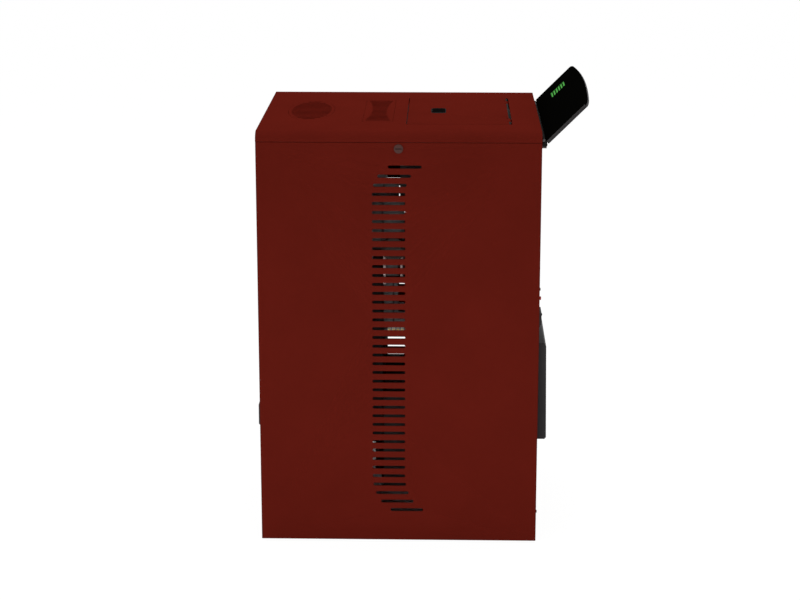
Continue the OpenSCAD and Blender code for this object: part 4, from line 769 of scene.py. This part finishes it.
def rearScrews():
    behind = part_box("rear_panel")[1].y
    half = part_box("rear_panel")[1].x - rear["panelEdge"] * mm
    panel = [Vector((side * half, behind, caseFoot + up * mm))
             for side in (-1, 1) for up in rear["panelScrews"]]
    screwRow("rear_panel_screws", panel, (0, 1, 0), "dark_metal", rear["screwScale"])
    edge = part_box("side_panel_right")[1].y
    flange = [Vector((side * rear["flangeX"] * mm, edge, caseFoot + up * mm))
              for side in (-1, 1) for up in rear["flangeScrews"]]
    screwRow("flange_screws", flange, (0, 1, 0), "dark_metal", rear["screwScale"])
    low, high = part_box("mains_inlet")
    inward, sunk = rear["earScrew"]    # from the inlet's edge and behind its face
    ear = Vector((low.x + inward * mm, high.y - sunk * mm, (low.z + high.z) / 2))
    screwRow("inlet_screw", [ear], (0, 1, 0), "bare_steel", rear["earScale"])


rearScrews()


# Brass contact blades in the mains inlet, round the cores that the frame has
contacts = {"x": 184, "up": 504.5, "spread": 7, "raised": 2, "wide": 2.3, "tall": 6.3,
            "sunk": 2.8, "root": 9.9}


def mainsBlades():
    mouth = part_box("mains_inlet")[1].y - contacts["sunk"] * mm
    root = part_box("rear_panel")[1].y - contacts["root"] * mm
    half = Vector((contacts["wide"] / 2 * mm, 0, contacts["tall"] / 2 * mm))
    made = []
    for k in (-1, 0, 1):
        up = contacts["up"] + (contacts["raised"] if k == 0 else 0)
        middle = at(contacts["x"] + k * contacts["spread"], 0, up)
        low, high = middle - half, middle + half
        low.y, high.y = root, mouth
        made.append(startBlock("blade", low, high))
    made = join("mains_blades", made)
    roundEdges(made, 0.4 * mm)
    give(made, finishes["brass"], "casing")


mainsBlades()
print("screws and contact blades placed")


# The coin slot of each panel lock, with a thin dark rubber sheet at its bottom that is painted shade for the
# slot's shadowed floor
coinSlot = {"long": 13.4, "wide": 1.9, "deep": 0.9, "shadeSheet": 0.1}


def lockSlotShades():
    for side, node, body in ((1, "cam_lock_right", "lock_right"),
                             (-1, "cam_lock_left", "lock_left")):
        low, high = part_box(node)
        outer = (high.x if side > 0 else low.x) - side * coinSlot["deep"] * mm
        centre = Vector(jointAt[body + "_turn"])
        centre.x = outer + side * coinSlot["shadeSheet"] * mm
        reach = Vector((coinSlot["shadeSheet"], coinSlot["long"] / 2, coinSlot["wide"] / 2)) * mm
        # Dark sheet on the slot's floor: painted shade where the slot lies in shadow
        shadeSheet = startBlock("lock_slot_" + body[5:], centre - reach, centre + reach)
        inset(shadeSheet, faceAlong((side, 0, 0)), 0.3 * mm, -0.08 * mm)
        give(shadeSheet, special["rubber"], body)


lockSlotShades()
print("lock slots lined")


# Lit field of the display: rows of plain numbers and level bars under the glass
screen = {"rows": 6, "rowPitch": 7.4 * mm, "digitTall": 5.2 * mm, "digitWide": 3.0 * mm,
          "stroke": 0.9 * mm, "bars": 9, "barPitch": 5.6 * mm, "barWide": 3.9 * mm,
          "thick": 0.25 * mm, "digitIn": 7 * mm, "barsIn": 14 * mm}
digitStrokes = {1: "bc", 2: "abged", 3: "abgcd", 4: "fgbc", 5: "afgcd", 6: "afgedc"}
strokePlaces = {"a": (0, 1, 0), "b": (1, 0.5, 1), "c": (1, -0.5, 1), "d": (0, -1, 0),
                "e": (-1, -0.5, 1), "f": (-1, 0.5, 1), "g": (0, 0, 0)}


def litBar(wide, tall):
    bar = startBlock("bar", (-wide / 2, -tall / 2, 0), (wide / 2, tall / 2, screen["thick"]))
    roundEdges(bar, min(wide, tall) * 0.3, 2)
    return bar


def displayField():
    flat = displayPlane.inverted()
    corners = [flat @ Vector(v.co) for v in nodes["display_screen"].data.vertices]
    x0, x1 = min(c.x for c in corners), max(c.x for c in corners)
    u0, u1 = min(c.y for c in corners), max(c.y for c in corners)
    top = max(c.z for c in corners)
    field = startBlock("screen_field", (x0, u0, 0), (x1, u1, top - 0.3 * mm))
    inset(field, faceAlong((0, 0, 1)), 1.2 * mm, -0.2 * mm)
    roundEdges(field, 0.25 * mm)
    field.data.transform(displayPlane)
    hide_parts("display_screen")
    give(field, finishes["lit_screen"], "display")

    floor = top - 0.5 * mm
    halfWide, halfTall = screen["digitWide"] / 2, screen["digitTall"] / 2
    upright = litBar(screen["stroke"], halfTall * 0.86)
    level = litBar(screen["digitWide"] * 0.8, screen["stroke"])
    block = litBar(screen["barWide"], screen["digitTall"] * 0.8)
    lit = []
    for row in range(screen["rows"]):
        u = (u0 + u1) / 2 + (screen["rows"] / 2 - row - 0.5) * screen["rowPitch"]
        for stroke in digitStrokes[row + 1]:
            dx, du, standing = strokePlaces[stroke]
            shift = Vector((x0 + screen["digitIn"] + dx * halfWide, u + du * halfTall, floor))
            lit.append(copyTo(upright if standing else level, Matrix.Translation(shift)))
        for k in range(screen["bars"]):
            shift = Vector((x0 + screen["barsIn"] + k * screen["barPitch"], u, floor))
            lit.append(copyTo(block, Matrix.Translation(shift)))
    for seed in (upright, level, block):
        bpy.data.objects.remove(seed)
    lit = join("screen_segments", lit)
    lit.data.transform(displayPlane)
    give(lit, special["segments"], "display")


displayField()
print("display lit")


# Pressure switch on its bracket, with two hoses and a terminal strip
pressureSwitch = {"platePast": 28, "sheet": 2, "foot": 640, "head": 784, "back": 276, "wide": 46,
                  "hub": (298, 668), "ribs": 12, "hoseX": 240, "hoseRadius": 3.4, "hoseTop": 660,
                  "hoses": ((278, 588), (316, 606)), "nozzleRadius": 4.6, "nozzle": (640, 646)}
bracketShape = {"rim": 5, "boss": 0.8, "armFrom": 24, "armTo": 14, "tabTo": 8}
# Each stage of the drum: its radius, its start and its end from the bracket
drumStages = (("drum", 26, 0, 9), ("rim", 26, 10.5, 20), ("waist", 24, 8, 12), ("dome", 18, 19, 26))
drumRib = ((18, -0.8, 17), (22, 0.8, 25))
stripBoxes = {"upper": ((234, 272, 602), (246, 322, 606)),
              "stem": ((238, 296, 491), (242, 300, 603)),
              "lower": ((232, 284, 474), (248, 323, 480))}
terminals = {"count": 4, "pitch": 9.6, "wide": 7.6, "x": (232, 248), "back": 285,
             "foot": 479, "top": 492}


def switchBracket(strip, plate):
    sheet = pressureSwitch["sheet"] * mm
    bottom = caseFoot + pressureSwitch["foot"] * mm
    top = caseFoot + pressureSwitch["head"] * mm
    back = frontFace + pressureSwitch["back"] * mm
    wide = pressureSwitch["wide"] * mm
    bracket = startBlock("bracket", (plate - sheet, back, bottom), (plate, back + wide, top))
    inset(bracket, faceAlong((1, 0, 0)), bracketShape["rim"] * mm)
    middle = Vector((plate, back + wide / 2, (bottom + top) / 2))
    pushOut(bracket, faceAt((1, 0, 0), middle), (bracketShape["boss"] * mm, 0, 0))
    near = back - bracketShape["armFrom"] * mm
    far = back + bracketShape["armTo"] * mm
    arms = [startBlock("arm", (strip, near, z), (plate, far, z + sheet))
            for z in (bottom, top - sheet)]
    tab = startBlock("tab", (strip, near, bottom),
                     (strip + sheet, back - bracketShape["tabTo"] * mm, top))
    bracket = join("switch_bracket", [bracket, *arms, tab])
    roundEdges(bracket, 0.3 * mm)
    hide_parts("pressure_switch")
    give(bracket, finishes["zinc_sheet"], "casing")


def switchDrum(plate):
    hubBack, hubUp = pressureSwitch["hub"]
    hub = Vector((plate, frontFace + hubBack * mm, caseFoot + hubUp * mm))
    out = Vector((1, 0, 0)) * mm
    stages = [startRod(name, radius * mm, hub + start * out, hub + end * out, 64)
              for name, radius, start, end in drumStages]
    inset(stages[-1], faceAlong(out), 4 * mm, -2 * mm)
    ribs = []
    for k in range(pressureSwitch["ribs"]):
        turn = Matrix.Rotation(math.tau * k / pressureSwitch["ribs"], 4, "X")
        rib = startBlock("rib", *([size * mm for size in corner] for corner in drumRib))
        rib.data.transform(Matrix.Translation(hub) @ turn)
        ribs.append(rib)
    drum = join("switch_drum", [*stages, *ribs])
    roundEdges(drum, 0.6 * mm)
    give(drum, special["drum"], "casing")


def switchHoses():
    x = pressureSwitch["hoseX"]
    bottom, top = pressureSwitch["nozzle"]
    made = []
    for back, low in pressureSwitch["hoses"]:
        made.append(startRod("hose", pressureSwitch["hoseRadius"] * mm,
                             at(x, back, low), at(x, back, pressureSwitch["hoseTop"]), 24))
        made.append(startRod("nozzle", pressureSwitch["nozzleRadius"] * mm,
                             at(x, back, bottom), at(x, back, top), 24))
    hoses = join("switch_hoses", made)
    roundEdges(hoses, 0.5 * mm)
    give(hoses, special["hose"], "casing")


def stripBlock(name):
    low, high = stripBoxes[name]
    return startBlock(name, at(*low), at(*high))


def terminalStrip():
    holder = join("strip_holder", [stripBlock("upper"), stripBlock("stem")])
    roundEdges(holder, 0.5 * mm)
    give(holder, finishes["dark_plastic"], "casing")
    near, far = terminals["x"]
    starts = [terminals["back"] + terminals["pitch"] * k for k in range(terminals["count"])]
    lower = stripBlock("lower")
    blocks = [startBlock("terminal", at(near, back, terminals["foot"]),
                         at(far, back + terminals["wide"], terminals["top"])) for back in starts]
    strip = join("terminal_strip", [lower, *blocks])
    roundEdges(strip, 0.6 * mm)
    give(strip, finishes["white_plastic"], "casing")
    heads = [at(far, back + terminals["wide"] / 2, (terminals["foot"] + terminals["top"]) / 2)
             for back in starts]
    screwRow("terminal_screws", heads, (1, 0, 0), "brass", 0.6)


def pressureSwitchPieces():
    low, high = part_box("pressure_switch")
    plate = high.x - pressureSwitch["platePast"] * mm        # the bracket's outer face
    switchBracket(low.x, plate)
    switchDrum(plate)
    switchHoses()
    terminalStrip()


pressureSwitchPieces()
print("pressure switch modelled")


# Control board: sizes out from the board's face, back from its front edge, up from its foot
board = {"faceX": -246.4, "wingX": -256, "tall": 170, "sheet": 2, "carrier": (-11.6, -9.6),
         "plate": ((-1.6, 0), (6, 10), (8, 162)), "spacers": ((-10.6, 0.8), (12, 16), (14, 156)),
         "spacerRadius": 3, "relays": 5, "relayPitch": 26,
         "relay": ((-0.4, 16, 20), (12.4, 28, 40)), "core": ((-0.4, 60, 30), (24.4, 100, 80)),
         "cans": 2, "canRadius": 9, "canPitch": 26, "can": (58, 120), "canReach": (-0.4, 28.4)}


def controlBoardPieces():
    low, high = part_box("control_board")
    face = board["faceX"] * mm
    deep = (high.y - low.y) / mm

    def spot(out, back, up):
        return Vector((face + out * mm, low.y + back * mm, low.z + up * mm))

    under, over = board["carrier"]
    carrier = startBlock("carrier", spot(under, 0, 0), spot(over, deep, board["tall"]))
    inset(carrier, faceAlong((1, 0, 0)), 3 * mm)
    wing = startBlock("wing", (low.x, high.y - board["sheet"] * mm, low.z),
                      (board["wingX"] * mm, high.y, high.z))
    carrier = join("board_carrier", [carrier, wing])
    roundEdges(carrier, 0.3 * mm)
    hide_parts("control_board")
    give(carrier, finishes["zinc_sheet"], "casing")

    (under, over), (near, far), (bottom, top) = board["plate"]    # far is from the rear edge
    plate = startBlock("board_plate", spot(under, near, bottom), spot(over, deep - far, top))
    inset(plate, faceAlong((1, 0, 0)), 2 * mm)
    (under, over), (near, far), heights = board["spacers"]
    radius = board["spacerRadius"] * mm
    spacers = [startRod("spacer", radius, spot(under, back, up), spot(over, back, up), 16)
               for back in (near, deep - far) for up in heights]
    plate = join("board_plate", [plate, *spacers])
    give(plate, finishes["circuit_board"], "casing")

    relays = []
    for k in range(board["relays"]):
        step = Vector((0, 0, board["relayPitch"] * k))
        start, end = (Vector(corner) + step for corner in board["relay"])
        relay = startBlock("relay", spot(*start), spot(*end))
        inset(relay, faceAlong((1, 0, 0)), 1.5 * mm, -0.4 * mm)
        relays.append(relay)
    relays = join("board_relays", relays)
    roundEdges(relays, 0.5 * mm)
    give(relays, finishes["dark_plastic"], "casing")

    start, end = board["core"]
    core = startBlock("board_transformer", spot(*start), spot(*end))
    inset(core, faceAlong((1, 0, 0)), 7 * mm, -2 * mm)
    roundEdges(core, 0.8 * mm)
    give(core, finishes["bare_steel"], "casing")

    cans = []
    back, up = board["can"]
    for k in range(board["cans"]):
        base, tip = (spot(out, back + board["canPitch"] * k, up) for out in board["canReach"])
        can = startRod("can", board["canRadius"] * mm, base, tip, 40)
        inset(can, faceAlong((1, 0, 0)), 1.2 * mm, -0.5 * mm)
        cans.append(can)
    cans = join("board_capacitors", cans)
    roundEdges(cans, 0.8 * mm)
    give(cans, finishes["dark_metal"], "casing")


controlBoardPieces()
print("control board modelled")


# Warm-air wheel with forward-curved blades between two rings
roomWheel = {"blades": 28, "bladeTurn": 50, "bladeArc": 21, "bladeRoot": 23, "bladeWall": 1.2,
             "ring": 3, "front": 550, "hub": (12, 16), "shaft": (4, 18)}


def roomFanWheel():
    low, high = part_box("room_fan_wheel")
    centre = Vector(jointAt["room_fan_turn"])
    radius = (high.x - low.x) / 2
    rear = high.y
    front = frontFace + roomWheel["front"] * mm
    thick = roomWheel["ring"] * mm
    root = radius - roomWheel["bladeRoot"] * mm

    def rod(name, reach, start, end, sides):
        return startRod(name, reach, (centre.x, start, centre.z), (centre.x, end, centre.z), sides)

    rings = [rod("ring", radius, start, start + thick, 96) for start in (front, rear - thick)]
    cutAway(rings[1], rod("eye", root - 3 * mm, rear - thick - 0.01, rear - thick + 0.01, 96))
    letGo()
    bpy.ops.mesh.primitive_grid_add(x_subdivisions=6, y_subdivisions=1, size=1)
    blade = settle("blade")
    depth = rear - front - thick
    bend = math.radians(roomWheel["bladeTurn"])
    arc = roomWheel["bladeArc"] * mm / bend
    for vertex in blade.data.vertices:       # curved along a short arc, full width of the wheel
        turn = bend * (vertex.co.x + 0.5)
        along = vertex.co.y * depth
        vertex.co = Vector((root + arc * math.sin(turn), along, arc * (1 - math.cos(turn))))
    hold(blade)
    wall = blade.modifiers.new("wall", "SOLIDIFY")
    wall.thickness = roomWheel["bladeWall"] * mm
    bpy.ops.object.modifier_apply(modifier="wall")
    middle = Matrix.Translation(Vector((centre.x, (front + rear) / 2, centre.z)))
    turns = [math.tau * k / roomWheel["blades"] for k in range(roomWheel["blades"])]
    blades = [copyTo(blade, middle @ Matrix.Rotation(turn, 4, "Y")) for turn in turns]
    bpy.data.objects.remove(blade)
    thickness, depth = roomWheel["hub"]        # radius, and reach behind the front ring
    hub = rod("hub", thickness * mm, front, front + depth * mm, 48)
    thickness, depth = roomWheel["shaft"]
    shaft = rod("shaft", thickness * mm, low.y, front + depth * mm, 32)
    wheel = join("room_fan_wheel_bladed", [*rings, *blades, hub, shaft])
    roundEdges(wheel, 0.25 * mm)
    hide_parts("room_fan_wheel")
    give(wheel, finishes["zinc_sheet"], "room_wheel")


roomFanWheel()
print("warm-air wheel modelled")


# Levelling feet: a disc on a rubber pad, a threaded stem and a lock nut
foot = {"radius": 13.5, "pad": 1.6, "stem": 4.0, "stemTall": 26, "turns": 14, "threadFrom": 3,
        "threadPitch": 1.6, "threadDeep": 0.5, "nutRadius": 7.5, "nut": (2, 8.5)}


def levellingFeet():
    tall = caseFoot
    radius = foot["radius"] * mm
    padTop = foot["pad"] * mm
    core = (foot["stem"] - foot["threadDeep"]) * mm
    disc = startRod("disc", radius, (0, 0, padTop), (0, 0, tall), 48)
    inset(disc, faceAlong((0, 0, 1)), 5 * mm)
    roundEdges(disc, 0.6 * mm)
    pad = startRod("pad", radius, (0, 0, 0), (0, 0, padTop), 48)
    inset(pad, faceAlong((0, 0, -1)), 2 * mm, -0.4 * mm)
    roundEdges(pad, 0.4 * mm)
    stem = startRod("stem", core, (0, 0, tall - 0.5 * mm), (0, 0, tall + foot["stemTall"] * mm))
    threads = []
    for k in range(foot["turns"]):
        z = tall + (foot["threadFrom"] + foot["threadPitch"] * k) * mm
        letGo()
        bpy.ops.mesh.primitive_torus_add(major_radius=core, minor_radius=foot["threadDeep"] * mm,
                                         major_segments=32, minor_segments=6, location=(0, 0, z))
        threads.append(settle("thread"))
    nutFoot, nutTop = (tall + up * mm for up in foot["nut"])
    nut = startRod("nut", foot["nutRadius"] * mm, (0, 0, nutFoot), (0, 0, nutTop), 6)
    roundEdges(nut, 0.8 * mm)
    metal = join("foot_metal", [disc, stem, nut, *threads])
    low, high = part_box("levelling_feet")
    places = [Matrix.Translation(Vector((x, y, 0)))
              for x in (low.x + radius, high.x - radius) for y in (low.y + radius, high.y - radius)]
    feet = scatter("feet_metal", metal, places)
    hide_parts("levelling_feet")
    give(feet, finishes["dark_metal"], "casing")
    give(scatter("feet_pads", pad, places), special["rubber"], "casing")


levellingFeet()
print("feet modelled")


# Floor, sky and lamps; each lamp has its place, its target, its size and its power
studio = {"sky": 0.5, "floorSize": 60, "floorTone": (0.9, 0.9, 0.9, 1), "floorWhite": 0.9,
          "floorGlow": 1.06}
stoveMiddle = (0, 0, 0.5)
lamps = {"key": ((2.1, -2.3, 0.75), stoveMiddle, 1.4, 18),
         "fill": ((2.0, 2.4, 0.75), stoveMiddle, 1.4, 16),
         "low": ((1.8, 0, 0.12), (0.28, 0, 0.1), 0.5, 8),
         "overhead": ((-0.4, 0, 3.4), stoveMiddle, 2.0, 54)}


def whereLooked(tree):
    # 1 for what the camera, a reflection or a glass looks at, 0 for the light on the stove
    seen = tree.nodes.new("ShaderNodeLightPath")
    total = seen.outputs["Is Camera Ray"]
    for ray in ("Is Glossy Ray", "Is Transmission Ray"):
        larger = tree.nodes.new("ShaderNodeMath")
        larger.operation = "MAXIMUM"
        tree.links.new(total, larger.inputs[0])
        tree.links.new(seen.outputs[ray], larger.inputs[1])
        total = larger.outputs[0]
    return total


def between(tree, mask, low, high):
    level = tree.nodes.new("ShaderNodeMapRange")
    level.inputs["To Min"].default_value = low
    level.inputs["To Max"].default_value = high
    tree.links.new(mask, level.inputs["Value"])
    return level.outputs["Result"]


def floorFinish():
    material = bpy.data.materials.new("paleFloor")
    material.use_nodes = True
    tree = material.node_tree
    tree.nodes.clear()
    output = tree.nodes.new("ShaderNodeOutputMaterial")
    mixed = tree.nodes.new("ShaderNodeMixShader")
    matt = tree.nodes.new("ShaderNodeBsdfDiffuse")
    matt.inputs["Color"].default_value = studio["floorTone"]
    white = tree.nodes.new("ShaderNodeEmission")
    white.inputs["Strength"].default_value = studio["floorGlow"]
    tree.links.new(between(tree, whereLooked(tree), 0, studio["floorWhite"]), mixed.inputs[0])
    tree.links.new(matt.outputs[0], mixed.inputs[1])
    tree.links.new(white.outputs[0], mixed.inputs[2])
    tree.links.new(mixed.outputs[0], output.inputs["Surface"])
    return material


def layFloor():
    letGo()
    bpy.ops.mesh.primitive_plane_add(size=studio["floorSize"])
    floor = settle("floor")
    floor.data.materials.append(floorFinish())


def hangSky():
    world = bpy.data.worlds.new("studio")
    bpy.context.scene.world = world
    world.use_nodes = True
    tree = world.node_tree
    sky = tree.nodes["Background"]
    sky.inputs["Color"].default_value = (1, 1, 1, 1)
    tree.links.new(between(tree, whereLooked(tree), studio["sky"], 1), sky.inputs["Strength"])


def softLight(name, place, target, size, power):
    letGo()
    bpy.ops.object.light_add(type="AREA", location=place)
    lamp = bpy.context.object
    lamp.name = name
    lamp.data.size = size
    lamp.data.energy = power
    lamp.rotation_euler = (Vector(target) - Vector(place)).to_track_quat("-Z", "Y").to_euler()


layFloor()
hangSky()
for name, settings in lamps.items():
    softLight(name, *settings)
print("studio lit")
